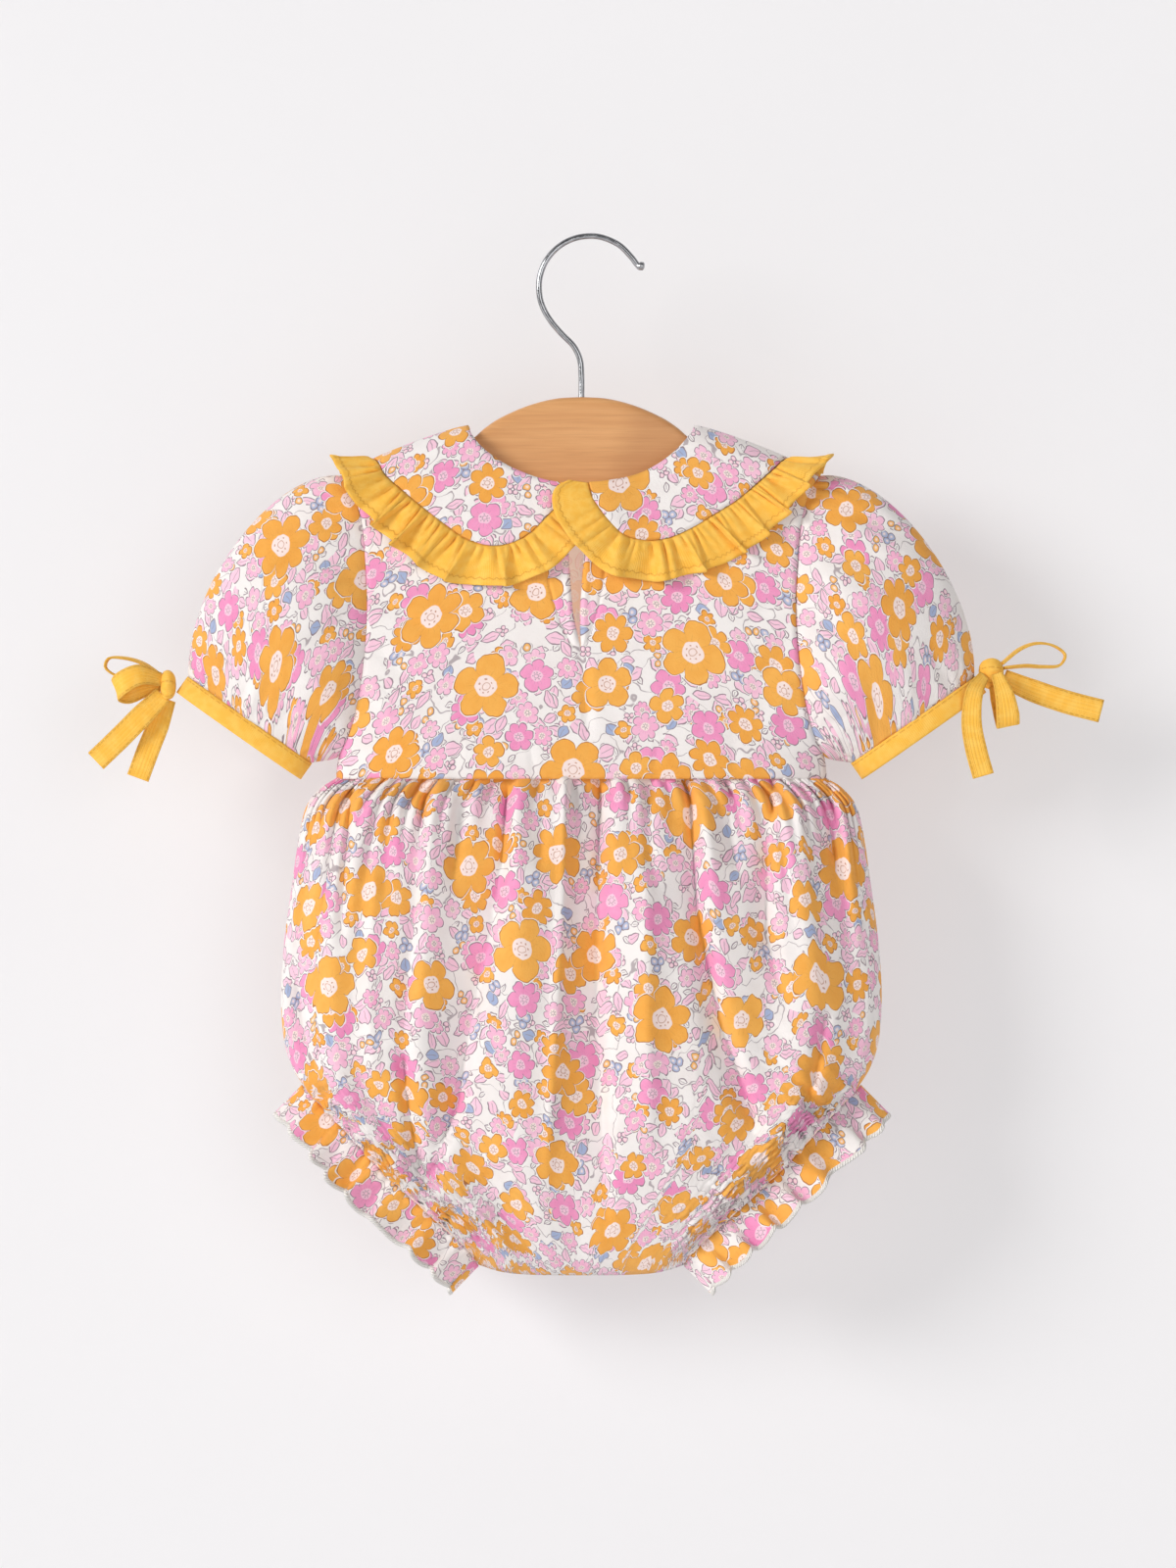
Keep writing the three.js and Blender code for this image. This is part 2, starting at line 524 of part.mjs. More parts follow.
// How far the folds push the bubble out at a share across and a share down the panel.
function foldHeight(folds, share, down) {
  return folds.reduce((sum, fold) => {
    const off = (share - fold.at - fold.lean * down * 2) / (fold.width * (1 + 0.5 * down));
    return sum + fold.out * Math.exp(-off * off);
  }, 0);
}

function bubblePanel(side, folds) {
  const rows = BUBBLE_ROWS.map((row, j) => {
    const columns = j < FINE_ROWS ? 2 * GATHERS : GATHERS;
    const down = j / (BUBBLE_ROWS.length - 1);
    return Array.from({ length: columns + 1 }, (_, i) => {
      const share = 2 * i / columns - 1;
      const p = bubblePoint(row, share, side);
      const free = 1 - share ** 8;
      const gather = row.pleat * (i % 2 ? 1 : -1);
      p.y += side * free * (gather + row.fold * foldHeight(folds, share, down));
      p.y = side * Math.max(Math.abs(p.y), SEAM_GAP / 2);
      return p;
    });
  });
  return clothWall(rows, CLOTH, { ends: { first: UP } });
}

// The edge of one leg opening, as a loop down the back and up the front, from its rows of the bubble.
function legEdge(hand) {
  const rows = BUBBLE_ROWS.slice(FIRST_LEG_ROW);
  const curve = (side) => rows.map((row) => {
    const p = bubblePoint(row, hand, side);
    return p.setY(side * Math.max(Math.abs(p.y), LEG_END_ROUND));
  });
  const back = curve(-1);
  const front = curve(1).reverse();
  return new THREE.CatmullRomCurve3([...back, ...front], true, 'catmullrom', 0.5);
}

function legFrill(hand) {
  const edge = legEdge(hand);
  const outward = vec(hand * 0.7, 0, -0.714);
  const columns = LEG_WAVES * 3;
  const rows = [0.02, 0.45, 1].map((out) => Array.from({ length: columns }, (_, i) => {
    const t = i / columns;
    const p = edge.getPointAt(t);
    const splay = clamp(p.y / 10, -1, 1) * 0.28;
    const calm = smooth(Math.abs(p.y), LEG_END_ROUND, 7);
    const swing = LEG_SWING * calm * out * Math.sin(2 * Math.PI * LEG_WAVES * t);
    p.addScaledVector(outward, SEAM_GAP + CLOTH / 2 + out * LEG_FRILL);
    p.y += splay * out * LEG_FRILL + swing;
    return p;
  }));
  return clothWall(rows, CLOTH, { closed: true });
}

// A point of the armhole seam: t runs from the shoulder to the underarm.
function armhole(t, side) {
  const z = lerp(BODICE_SIDE[0].z, UNDERARM_Z, t);
  const x = along(BODICE_SIDE, 'z', 'x', z);
  return onBodice(x, t === 0 ? 0 : downTo(x, z), side);
}

// A weighted sum of what the sleeve does at its top, middle and foot, t along from the shoulder.
function byPlace(places, t, side) {
  const weights = { top: (1 - t) ** 2, middle: 2 * t * (1 - t), foot: t ** 2 };
  return Object.entries(weights).reduce(
    (sum, [name, w]) => sum.add(vec(places[name].x, side * places[name].y, places[name].z).multiplyScalar(w)),
    vec(0, 0, 0),
  );
}

function cuffPoint(t, side) {
  const round = Math.sqrt(Math.max(1 - (2 * t - 1) ** 2, 0));
  return vec(lerp(CUFF_TOP.x, CUFF_FOOT.x, t), side * CUFF_DEPTH * round, lerp(CUFF_TOP.z, CUFF_FOOT.z, t));
}

// A place round the sleeve: turn runs from 0 at the shoulder down the back and up the front to 1.
function roundSleeve(turn) {
  const half = turn <= 0.5 ? 2 * turn : 2 - 2 * turn;
  return { t: (1 - Math.cos(Math.PI * half)) / 2, side: turn <= 0.5 ? -1 : 1 };
}

function sleevePoint(turn, s) {
  const { t, side } = roundSleeve(turn);
  const [above, below] = [armhole(Math.max(t - 0.02, 0), side), armhole(Math.min(t + 0.02, 1), side)];
  const away = vec(above.z - below.z, 0, below.x - above.x).normalize();
  const from = armhole(t, side).addScaledVector(away, SEAM_GAP + CLOTH / 2);
  const to = cuffPoint(t, side);
  const leave = from.clone().add(byPlace(SLEEVE_LEAVES, t, side));
  const arrive = to.clone().add(byPlace(SLEEVE_ARRIVES, t, side));
  const p = vec(0, 0, 0);
  p.addScaledVector(from, (1 - s) ** 3).addScaledVector(leave, 3 * s * (1 - s) ** 2);
  p.addScaledVector(arrive, 3 * s * s * (1 - s)).addScaledVector(to, s ** 3);
  const puff = Math.cos(2 * Math.PI * 2 * SLEEVE_GATHERS * turn);
  const headGather = 1.6 * smooth(s, 0, 0.1) * (1 - smooth(s, 0.15, 0.5)) * (1 - smooth(t, 0.5, 0.8));
  const hemGather = 1.1 * smooth(s, 0.6, 0.9) * (1 - smooth(s, 0.94, 1)) * Math.sqrt(4 * t * (1 - t));
  p.y += side * puff * (headGather + hemGather);
  return p;
}

function mirrored(rows, hand) {
  return rows.map((row) => row.map((p) => vec(hand * p.x, p.y, p.z)));
}

// The direction in which the cuff faces, square to its line, for the right sleeve.
const CUFF_FACES = vec(CUFF_TOP.z - CUFF_FOOT.z, 0, CUFF_FOOT.x - CUFF_TOP.x).normalize();

function sleeve(hand) {
  const columns = 4 * SLEEVE_GATHERS;
  const rows = SLEEVE_ROWS.map((s) => Array.from({ length: columns }, (_, i) => sleevePoint(i / columns, s)));
  const last = vec(hand * CUFF_FACES.x, 0, CUFF_FACES.z);
  return clothWall(mirrored(rows, hand), CLOTH, { closed: true, ends: { last } });
}

// The band sewn round the sleeve's hem, square to the line of the cuff.
function cuffBinding(hand) {
  const rows = [0, 1].map((out) => Array.from({ length: 24 }, (_, i) => {
    const { t, side } = roundSleeve(i / 24);
    return cuffPoint(t, side).addScaledVector(CUFF_FACES, SEAM_GAP + out * BINDING);
  }));
  const square = vec(hand * CUFF_FACES.x, 0, CUFF_FACES.z);
  return clothWall(mirrored(rows, hand), BINDING_WALL, { closed: true, ends: { first: square, last: square } });
}

// The rows of one collar from the centre back, over the shoulder, to the centre front, each with its
// neck end and its frill end in the cloth's own plane: x, and down with the back positive.
function collarRows(hand) {
  const flat = (row, sign) => ({
    neck: vec(row.neckX, sign * downTo(row.neckX, row.neckZ, COLLAR_LIFT), 0),
    edge: vec(row.edgeX, sign * downTo(row.edgeX, row.edgeZ, COLLAR_LIFT), 0),
  });
  const between = (a, b, t) => ({ neck: a.neck.clone().lerp(b.neck, t), edge: a.edge.clone().lerp(b.edge, t) });
  const back = (hand < 0 ? COLLAR_BACK_LEFT : COLLAR_BACK_RIGHT).map((row) => flat(row, 1));
  const front = COLLAR_FRONT.map((row) => flat(row, -1)).reverse();
  const top = { neck: vec(COLLAR_SHOULDER.neckX, 0, 0), edge: vec(COLLAR_SHOULDER.edgeX, 0, 0) };
  const thirds = [1 / 3, 2 / 3];
  return [
    ...back,
    ...thirds.map((t) => between(back[back.length - 1], top, t)),
    top,
    ...thirds.map((t) => between(top, front[0], t)),
    ...front,
  ];
}

// A place of the collar's own plane, laid over the shoulder. The right collar rides over the left one
// at the centre back. What a wave or the overlap adds to the lift doesn't raise the place.
function rolled(x, down, lift, hand, wave = 0) {
  const over = hand > 0 && down > 0 ? OVERLAP_LIFT * (1 - smooth(x, 4, OVERLAP_REACH)) : 0;
  const length = Math.abs(down);
  const kept = length + (over + wave) * Math.min(length / (ARCH + lift), Math.PI / 2);
  const p = onBodice(x, kept, down >= 0 ? -1 : 1, lift + over + wave);
  return vec(hand * p.x, p.y, p.z);
}

function collar(hand) {
  const rows = Array.from({ length: COLLAR_STRIPS + 1 }, (_, k) => collarRows(hand).map((row) => {
    const flat = row.neck.clone().lerp(row.edge, k / COLLAR_STRIPS);
    return rolled(flat.x, flat.y, COLLAR_LIFT, hand);
  }));
  return clothWall(rows, CLOTH);
}

// The frill's seam in the cloth's own plane: down the back end, along the edge and up the front end.
function frillSeam(hand) {
  const rows = collarRows(hand);
  const seam = [rows[0].neck, ...rows.map((row) => row.edge), rows[rows.length - 1].neck];
  return new THREE.CatmullRomCurve3(seam, false, 'centripetal');
}

function collarFrill(hand) {
  const seam = frillSeam(hand);
  const columns = FRILL_WAVES * 3;
  const rows = [0, 0.5, 1].map((out) => Array.from({ length: columns + 1 }, (_, i) => {
    const t = i / columns;
    const p = seam.getPointAt(t);
    const tangent = seam.getTangentAt(t);
    const full = p.y < 0 ? Math.min(FRILL_WIDTH, p.x - 1) : FRILL_WIDTH;
    const rounded = Math.sqrt(1 - (1 - Math.min(t / FRILL_ROUND, 1)) ** 2);
    const width = full * lerp(0.45, 1, rounded);
    const q = p.clone().addScaledVector(vec(-tangent.y, tangent.x, 0), SEAM_GAP + CLOTH / 2 + out * width);
    const shoulder = Math.exp(-((p.y / 26) ** 2));
    const calm = smooth(t, 0.02, 0.16) * (1 - smooth(t, 0.86, 0.99));
    const swing = FRILL_SWING * calm * Math.sin(2 * Math.PI * FRILL_WAVES * t);
    return rolled(q.x, q.y, COLLAR_LIFT + out * (0.8 + 8 * shoulder), hand, out * swing);
  }));
  return clothWall(rows, CLOTH);
}

// A solid from rings of points, closed by a fan at each end.
function loft(rings) {
  const points = rings.flat();
  const round = rings[0].length;
  const faces = [];
  for (let j = 0; j < rings.length - 1; j += 1) {
    for (let i = 0; i < round; i += 1) {
      const [a, b] = [j * round + i, j * round + (i + 1) % round];
      faces.push(a, b, a + round, b, b + round, a + round);
    }
  }
  const last = (rings.length - 1) * round;
  for (let i = 1; i < round - 1; i += 1) {
    faces.push(0, i + 1, i, last, last + i, last + i + 1);
  }
  return geometryOf(points, faces);
}

// A place just off a knot, on the line from its middle towards a row of a tie's path.
function seatOn(middle, row) {
  const toRow = vec(row.x - middle.x, row.y - middle.y, row.z - middle.z);
  const inHalves = vec(toRow.x / middle.halfX, toRow.y / middle.halfY, toRow.z / middle.halfZ);
  const reach = toRow.length() / inHalves.length() + row.seat;
  const seat = toRow.setLength(reach);
  return { ...row, x: middle.x + seat.x, y: middle.y + seat.y, z: middle.z + seat.z };
}

// A strip of tie along a path from its knot, with the direction of its width given at each point.
function tie(table, middle) {
  const path = table.map((row) => (row.seat ? seatOn(middle, row) : row));
  const curve = new THREE.CatmullRomCurve3(path.map((p) => vec(p.x, p.y, p.z)), false, 'centripetal');
  const steps = (path.length - 1) * 2;
  return loft(Array.from({ length: steps + 1 }, (_, i) => {
    const t = i / steps;
    const k = Math.min(Math.floor(i / 2), path.length - 2);
    const at = (name) => lerp(path[k][name], path[k + 1][name], i / 2 - k);
    const [lay, tip] = [THREE.MathUtils.degToRad(at('lay')), THREE.MathUtils.degToRad(at('tip'))];
    const across = vec(Math.cos(lay) * Math.cos(tip), Math.sin(tip), Math.sin(lay) * Math.cos(tip));
    const tangent = curve.getTangent(t);
    across.addScaledVector(tangent, -across.dot(tangent)).normalize();
    const normal = tangent.clone().cross(across);
    return [[-1, -1], [1, -1], [1, 1], [-1, 1]].map(([a, n]) => curve.getPoint(t)
      .addScaledVector(across, a * at('wide') / 2).addScaledVector(normal, n * TIE_WALL / 2));
  }));
}

function knot({ x, y, z, halfX, halfY, halfZ }) {
  return new THREE.SphereGeometry(1, 10, 7).scale(halfX, halfY, halfZ).translate(x, y, z);
}

// The wood of the hanger, as rounded sections across it, with the hole for the hook's stem.
function hangerWood() {
  const sections = [...WOOD.slice(1).reverse().map((row) => ({ ...row, x: -row.x })), ...WOOD];
  const wood = loft(sections.map(({ x, top, bottom }) => {
    const narrow = Math.min(1, (top - bottom) / 22);
    const [halfY, halfZ] = [WOOD_THICK / 2 * Math.sqrt(narrow), (top - bottom) / 2];
    const round = Math.min(WOOD_ROUND, halfZ * 0.8);
    const corner = (sy, sz, order) => order.map((turn) => vec(
      x,
      sy * (halfY - round + round * Math.sin(turn)),
      (top + bottom) / 2 + sz * (halfZ - round + round * Math.cos(turn)),
    ));
    const quarter = [0.15, 0.785, 1.42];
    const back = [...quarter].reverse();
    return [
      ...corner(1, 1, quarter), ...corner(1, -1, back), ...corner(-1, -1, quarter), ...corner(-1, 1, back),
    ];
  }));
  const hole = new THREE.CylinderGeometry(WIRE_R + SEAM_GAP, WIRE_R + SEAM_GAP, 2 * STEM_HOLE, 12);
  hole.rotateX(Math.PI / 2).translate(STEM_X, 0, WOOD[0].top);
  return geometryOfSolid(solidOf(wood).subtract(solidOf(hole)));
}

function hangerHook() {
  const path = new THREE.CatmullRomCurve3(HOOK_WIRE.map((p) => vec(p.x, 0, p.z)), false, 'centripetal');
  const steps = (HOOK_WIRE.length - 1) * 2;
  return loft(Array.from({ length: steps + 1 }, (_, i) => {
    const k = Math.min(Math.floor(i / 2), HOOK_WIRE.length - 2);
    const r = lerp(HOOK_WIRE[k].r, HOOK_WIRE[k + 1].r, i / 2 - k);
    const [centre, tangent] = [path.getPoint(i / steps), path.getTangent(i / steps)];
    const aside = vec(-tangent.z, 0, tangent.x);
    return Array.from({ length: 8 }, (_unused, n) => {
      const turn = 2 * Math.PI * n / 8;
      return centre.clone().addScaledVector(aside, r * Math.cos(turn)).add(vec(0, r * Math.sin(turn), 0));
    });
  }));
}

function addPiece(group, name, geometry, material) {
  const mesh = new THREE.Mesh(geometry, material);
  mesh.name = name;
  group.add(mesh);
}

const finish = (color, roughness, metalness = 0) => new THREE.MeshStandardMaterial({ color, roughness, metalness });
const print = finish(0xf3ddd2, 0.9);
const yellow = finish(0xf8b73c, 0.85);

const root = new THREE.Group();
const garment = new THREE.Group();
garment.position.x = GARMENT_X;
root.add(garment);
addPiece(garment, 'bodice_back', bodiceBack(), print);
addPiece(garment, 'bodice_front', bodicePanel(1, FRONT_NECK_DROP), print);
addPiece(garment, 'bubble_back', bubblePanel(-1, BACK_FOLDS), print);
addPiece(garment, 'bubble_front', bubblePanel(1, FRONT_FOLDS), print);
for (const [name, hand] of [['left', -1], ['right', 1]]) {
  addPiece(garment, `sleeve_${name}`, sleeve(hand), print);
  addPiece(garment, `cuff_${name}`, cuffBinding(hand), yellow);
  addPiece(garment, `collar_${name}`, collar(hand), print);
  addPiece(garment, `collar_frill_${name}`, collarFrill(hand), yellow);
  addPiece(garment, `leg_frill_${name}`, legFrill(hand), print);
}

for (const [name, at] of [['left', KNOT_LEFT], ['right', KNOT_RIGHT]]) {
  addPiece(garment, `bow_knot_${name}`, knot(at), yellow);
}
const ties = [
  ['bow_loop_front_left', LEFT_LOOP_FRONT, KNOT_LEFT],
  ['bow_loop_rear_left', LEFT_LOOP_REAR, KNOT_LEFT],
  ['bow_tail_front_left', LEFT_TAIL_FRONT, KNOT_LEFT],
  ['bow_tail_rear_left', LEFT_TAIL_REAR, KNOT_LEFT],
  ['bow_loop_upper_right', RIGHT_LOOP_UPPER, KNOT_RIGHT],
  ['bow_loop_lower_right', RIGHT_LOOP_LOWER, KNOT_RIGHT],
  ['bow_tail_inner_right', RIGHT_TAIL_INNER, KNOT_RIGHT],
  ['bow_tail_outer_right', RIGHT_TAIL_OUTER, KNOT_RIGHT],
];
for (const [name, table, middle] of ties) addPiece(garment, name, tie(table, middle), yellow);
addPiece(garment, 'hanger_wood', hangerWood(), finish(0xc98d52, 0.6));
addPiece(garment, 'hanger_hook', hangerHook(), finish(0xc8ccd0, 0.25, 1));

export default root;
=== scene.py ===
"""The looks of a baby's bubble romper on a small wooden hanger, hung up with its back to the camera.

Sizes are millimetres until a mesh is made, +Z is up, +X goes to the viewer's right and the back of
the garment looks towards -Y. The origin is under the crook of the hanger's hook. Each cloth piece is
a grid of points across and down the cloth, with the cloth's own lengths as its UV map, in metres.
"""
import math

import bpy
import numpy as np
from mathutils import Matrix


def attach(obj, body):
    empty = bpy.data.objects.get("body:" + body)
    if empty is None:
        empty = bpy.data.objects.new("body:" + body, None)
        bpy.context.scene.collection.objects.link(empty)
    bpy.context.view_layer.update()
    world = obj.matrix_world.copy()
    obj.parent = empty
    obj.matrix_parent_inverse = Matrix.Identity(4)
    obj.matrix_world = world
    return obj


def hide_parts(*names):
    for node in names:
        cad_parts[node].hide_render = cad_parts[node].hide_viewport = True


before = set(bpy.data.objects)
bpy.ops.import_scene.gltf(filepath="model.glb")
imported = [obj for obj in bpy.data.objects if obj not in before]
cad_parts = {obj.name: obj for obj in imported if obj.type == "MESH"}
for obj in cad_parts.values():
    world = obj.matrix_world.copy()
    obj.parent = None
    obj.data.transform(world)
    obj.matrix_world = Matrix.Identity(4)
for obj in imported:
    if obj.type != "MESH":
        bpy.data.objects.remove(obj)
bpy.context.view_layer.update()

MM = 0.001


def table(names, *rows):
    """A table with named columns: one array for each name, from rows of numbers."""
    return {name: np.array(column, float) for name, column in zip(names.split(), zip(*rows))}


# The garment's place and its driving sizes.
GARMENT_X = -4
SEAM_GAP = 0.3
CLOTH = 1.2
CLOTH_SHOWN = 0.8
NECK_HALF = 52
NECK_Z = -89
SHOULDER_HALF = 111.5
SHOULDER_FALL = 0.37
SHOULDER_EASE = 8
ARCH = 8
BACK_NECK_DROP = 25
FRONT_NECK_DROP = 47
SHOULDER_SHARE = 0.25
WAIST_Z = -253.5
WAIST_HALF = 115
UNDERARM_Z = -243

BODICE_SECTIONS = table(
    "z depth half",
    (-80, 9.5, 156), (-120, 12, 154), (-160, 14, 149), (-198, 15.4, 139),
    (-218, 16, 126), (-234, 16.6, 117), (UNDERARM_Z, 17, 113.5), (WAIST_Z, 17.5, WAIST_HALF),
)
BODICE_SIDE = table(
    "z x",
    (-111, SHOULDER_HALF), (-120, 106.5), (-134, 102.5), (-150, 101), (-174, 100),
    (-198, 101.5), (-218, 104.5), (-234, 109), (UNDERARM_Z, 113.5), (WAIST_Z, WAIST_HALF),
)
BACK_SLIT = table(
    "z left right",
    (-192, -0.6, 0), (-178, -3.8, -0.4), (-168, -4.8, 0), (-148, -6.2, 1.4), (-108, -6.8, 2.6),
)

# Rows of the bubble from the waist to the crotch, with the half width of the cut cloth at each.
BUBBLE_ROWS = table(
    "z half edge_z depth edge_depth fold cut",
    (-253.65, 115, -253.65, 17, 0, 0.15, 172), (-257, 121, -257, 20, 0, 0.35, 172),
    (-265, 128, -265, 24, 0, 0.6, 172), (-277, 131.5, -277, 26, 0, 0.9, 172),
    (-300, 135, -300, 28.5, 0, 1, 172), (-330, 139, -330, 31, 0, 1, 172),
    (-360, 140.5, -358, 32, 0, 0.9, 170), (-386, 138, -381, 32, 0, 0.8, 166),
    (-408, 130, -397, 31.5, 0.5, 0.7, 157), (-428, 113, -414, 29.5, 12, 0.55, 139),
    (-447, 91, -437, 25.5, 16, 0.45, 112), (-464, 67, -459.5, 19.5, 14, 0.35, 84),
    (-477, 51.5, -474.5, 12, 8, 0.15, 64), (-484.5, 48.5, -480, 4, 2.5, 0, 58),
    (-486, 48, -481, 0.15, 0.15, 0, 57),
)
FIRST_LEG_ROW = 8
LEG_END_ROUND = 1.6
# Gathers: how many, how far the longest reaches in millimetres, and how deep they are.
WAIST_GATHERS = (38, 46, 5.4)
LEG_GATHERS = (24, 26, 3.4)
HEAD_GATHERS = (34, 26, 1.1)
HEM_GATHERS = (30, 14, 0.8)
FRILL_PLEATS = (58, 14, 2.4)
LONG_FOLD_SCALE = 2.3

# The largest folds of the bubble: where each leaves the waist, how far it stands out, its half width
# and its lean outwards, as shares of the panel's half width.
BACK_FOLDS = table(
    "at out width lean",
    (-0.9, 2.6, 0.055, -0.02), (-0.78, -2.4, 0.05, -0.02), (-0.62, 3.4, 0.065, -0.03),
    (-0.5, -3, 0.045, -0.05), (-0.36, 3.2, 0.06, -0.04), (-0.24, -3.6, 0.05, -0.06),
    (-0.12, 3.6, 0.05, -0.03), (-0.01, -3.4, 0.05, 0), (0.12, 3.2, 0.055, 0.01),
    (0.24, 2.2, 0.05, 0.03), (0.4, -3.4, 0.05, 0.05), (0.54, 3.2, 0.06, 0.04),
    (0.68, -2.6, 0.05, 0.05), (0.84, 2.8, 0.065, 0.02),
)
FRONT_FOLDS = table(
    "at out width lean",
    (-0.88, 2.6, 0.06, -0.02), (-0.7, -2.8, 0.05, -0.03), (-0.55, 3.2, 0.06, -0.04),
    (-0.37, -3.2, 0.05, -0.04), (-0.2, 3.4, 0.06, -0.02), (-0.04, -3, 0.05, 0),
    (0.13, 3.2, 0.06, 0.02), (0.3, -3.4, 0.05, 0.04), (0.47, 3, 0.06, 0.04),
    (0.63, -2.6, 0.05, 0.04), (0.8, 3, 0.065, 0.02),
)

# Sleeve: the cuff's two ends, how deep it is, and how the cloth leaves the armhole and the cuff.
CUFF_TOP = np.array([184, 0, -205.5])
CUFF_FOOT = np.array([127, 0, -245.5])
CUFF_DEPTH = 12
SLEEVE_LEAVES = np.array([[30, 0, 4], [22, 27, -4], [3, 0, -2]])
SLEEVE_ARRIVES = np.array([[1.5, 0, 44], [-22, 26, 30], [-4, 0, 1]])
BINDING = 9

# Collar lobes as rows from the centre to the shoulder, each from its neck edge to its frill edge.
COLLAR_LIFT = 3
COLLAR_NAMES = "neck_x neck_z edge_x edge_z"
COLLAR_BACK_LEFT = table(
    COLLAR_NAMES,
    (4.5, -115.4, 8.5, -123), (9.5, -115, 16.5, -131), (15, -114.2, 24, -138.5),
    (21, -112.6, 33, -143.3), (27, -110.4, 43, -144.5), (33, -107.8, 53, -141.6),
    (38.5, -104.6, 63, -135), (43.5, -101, 73, -127.3), (48, -96.8, 83, -119),
    (51.5, -92, 92, -110.5),
)
COLLAR_BACK_RIGHT = table(
    COLLAR_NAMES,
    (3.5, -115.2, 5.5, -122.5), (8.5, -114.8, 12.5, -132.5), (14, -114, 20, -139.5),
    (20.5, -112.8, 30, -142), (27.5, -110.6, 41, -140.8), (34, -107.4, 52, -136),
    (40, -103.4, 62, -129.8), (45, -99, 72, -123.6), (49, -94.6, 82, -115.2),
    (51.8, -91, 91, -107),
)
COLLAR_FRONT = table(
    COLLAR_NAMES,
    (3, -137, 9, -147), (9, -136.5, 15, -155), (16, -135, 24, -161), (23.5, -132, 35, -163),
    (30.5, -127.5, 46, -161), (36.5, -122, 57, -155), (42, -115.5, 67.5, -146),
    (46.5, -108.5, 77, -134.5), (50, -101, 86, -122), (52, -94, 93, -110),
)
COLLAR_SHOULDER = (53.5, 98)
FRILL_WIDTH = 19.5
FRILL_WAVES = 20
FRILL_SWING = 2.2
FRILL_ROUND = 0.035
OVERLAP_LIFT = 4.5
OVERLAP_REACH = 34

LEG_FRILL = 19
LEG_WAVES = 16
LEG_SWING = 3

# The ties: centre line, angle of the width in the picture (lay) and towards the viewer (tip), width,
# and how far an end sits off its knot.
TIE_WALL = 2
KNOT_LEFT = np.array([[-193.9, -1.5, -209.5], [4.2, 5, 7]])
KNOT_RIGHT = np.array([[192.2, -1.5, -203.5], [6.6, 5, 7.2]])
TIE_NAMES = "x y z lay tip wide seat"
LEFT_LOOP_FRONT = table(
    TIE_NAMES,
    (-198.6, -4.5, -205.5, 105, 0, 6.5, 0.6), (-207, -9.5, -204.8, 108, 0, 10, 0),
    (-215.2, -9, -208.8, 112, 10, 11, 0), (-217.6, -5.5, -211.8, 112, 14, 11, 0),
    (-213, -2.5, -213, 112, 10, 11, 0), (-205.5, -1.6, -210.6, 110, 0, 9.5, 0),
    (-198.8, -1.5, -209.4, 100, 0, 6, 0.5),
)
LEFT_LOOP_REAR = table(
    TIE_NAMES,
    (-198.4, 4, -202.6, 80, 80, 6, 0.45), (-207, 6.5, -198.8, 75, 84, 9, 0),
    (-216, 7, -196.4, 80, 86, 10.5, 0), (-222.5, 7, -196.8, 120, 88, 10.7, 0),
    (-224, 7, -200.8, 170, 88, 10.7, 0), (-219, 7, -204.8, 230, 88, 10, 0),
    (-208, 6, -206.8, 265, 86, 8.5, 0), (-198.6, 4, -207.9, 265, 82, 6, 0.45),
)
LEFT_TAIL_FRONT = table(
    TIE_NAMES,
    (-197.4, -4.5, -216.6, 130, 0, 9, 0.45), (-206, -5.5, -224, 134, 0, 10.7, 0),
    (-216, -5, -234, 136, 0, 10.7, 0), (-227.5, -4, -245, 136, 0, 10.7, 0),
)
LEFT_TAIL_REAR = table(
    TIE_NAMES,
    (-194.2, -0.6, -218, 165, 0, 8, 0.45), (-198.6, 0, -228, 160, 0, 10.4, 0),
    (-203.4, 0, -240, 158, 0, 10.7, 0), (-208.2, 0, -253, 158, 0, 10.7, 0),
)
RIGHT_LOOP_UPPER = table(
    TIE_NAMES,
    (200.6, -1, -196.6, 115, 82, 5, 0.45), (206, 0, -192.4, 115, 84, 8, 0),
    (213.5, 0, -189.8, 100, 86, 8.5, 0), (221.5, 0, -190.9, 65, 88, 8.5, 0),
    (227, 0, -195.4, 25, 88, 8.5, 0), (224.6, 0, -200, -50, 88, 8.5, 0),
    (216.5, 0, -200.8, -88, 86, 8.5, 0), (208.5, -0.5, -200.4, -90, 84, 8, 0),
    (201.4, -1, -200.2, -90, 82, 5, 0.45),
)
RIGHT_LOOP_LOWER = table(
    TIE_NAMES,
    (195.6, -9.6, -204.5, 14, 0, 5.5, 1.5), (197.6, -11.6, -214, 14, 0, 9, 0),
    (199.2, -11.2, -223.4, 13, 0, 11, 0), (199.6, -7.6, -228.4, 12, 0, 11, 0),
    (198.6, -4, -223.4, 12, 0, 11, 0), (196.4, -3.6, -215, 13, 0, 10, 0),
    (194.6, -4.4, -210.4, 14, 0, 7, 0.7),
)
RIGHT_TAIL_INNER = table(
    TIE_NAMES,
    (187.6, -7.6, -205.4, -50, 0, 5.5, 1.5), (183.6, -12, -213, -25, 0, 8.5, 0),
    (182.3, -11, -227, -2, 0, 9.6, 0), (184.6, -9.5, -240, 14, 0, 10.2, 0),
    (188, -8.5, -252, 22, 0, 10.2, 0),
)
RIGHT_TAIL_OUTER = table(
    TIE_NAMES,
    (200.8, -1, -207.4, 66, 0, 8.5, 0.45), (212, 0, -212, 70, 0, 10.7, 0),
    (228, 0, -217.4, 74, 0, 11, 0), (244, 0, -221.6, 76, 0, 11, 0),
)

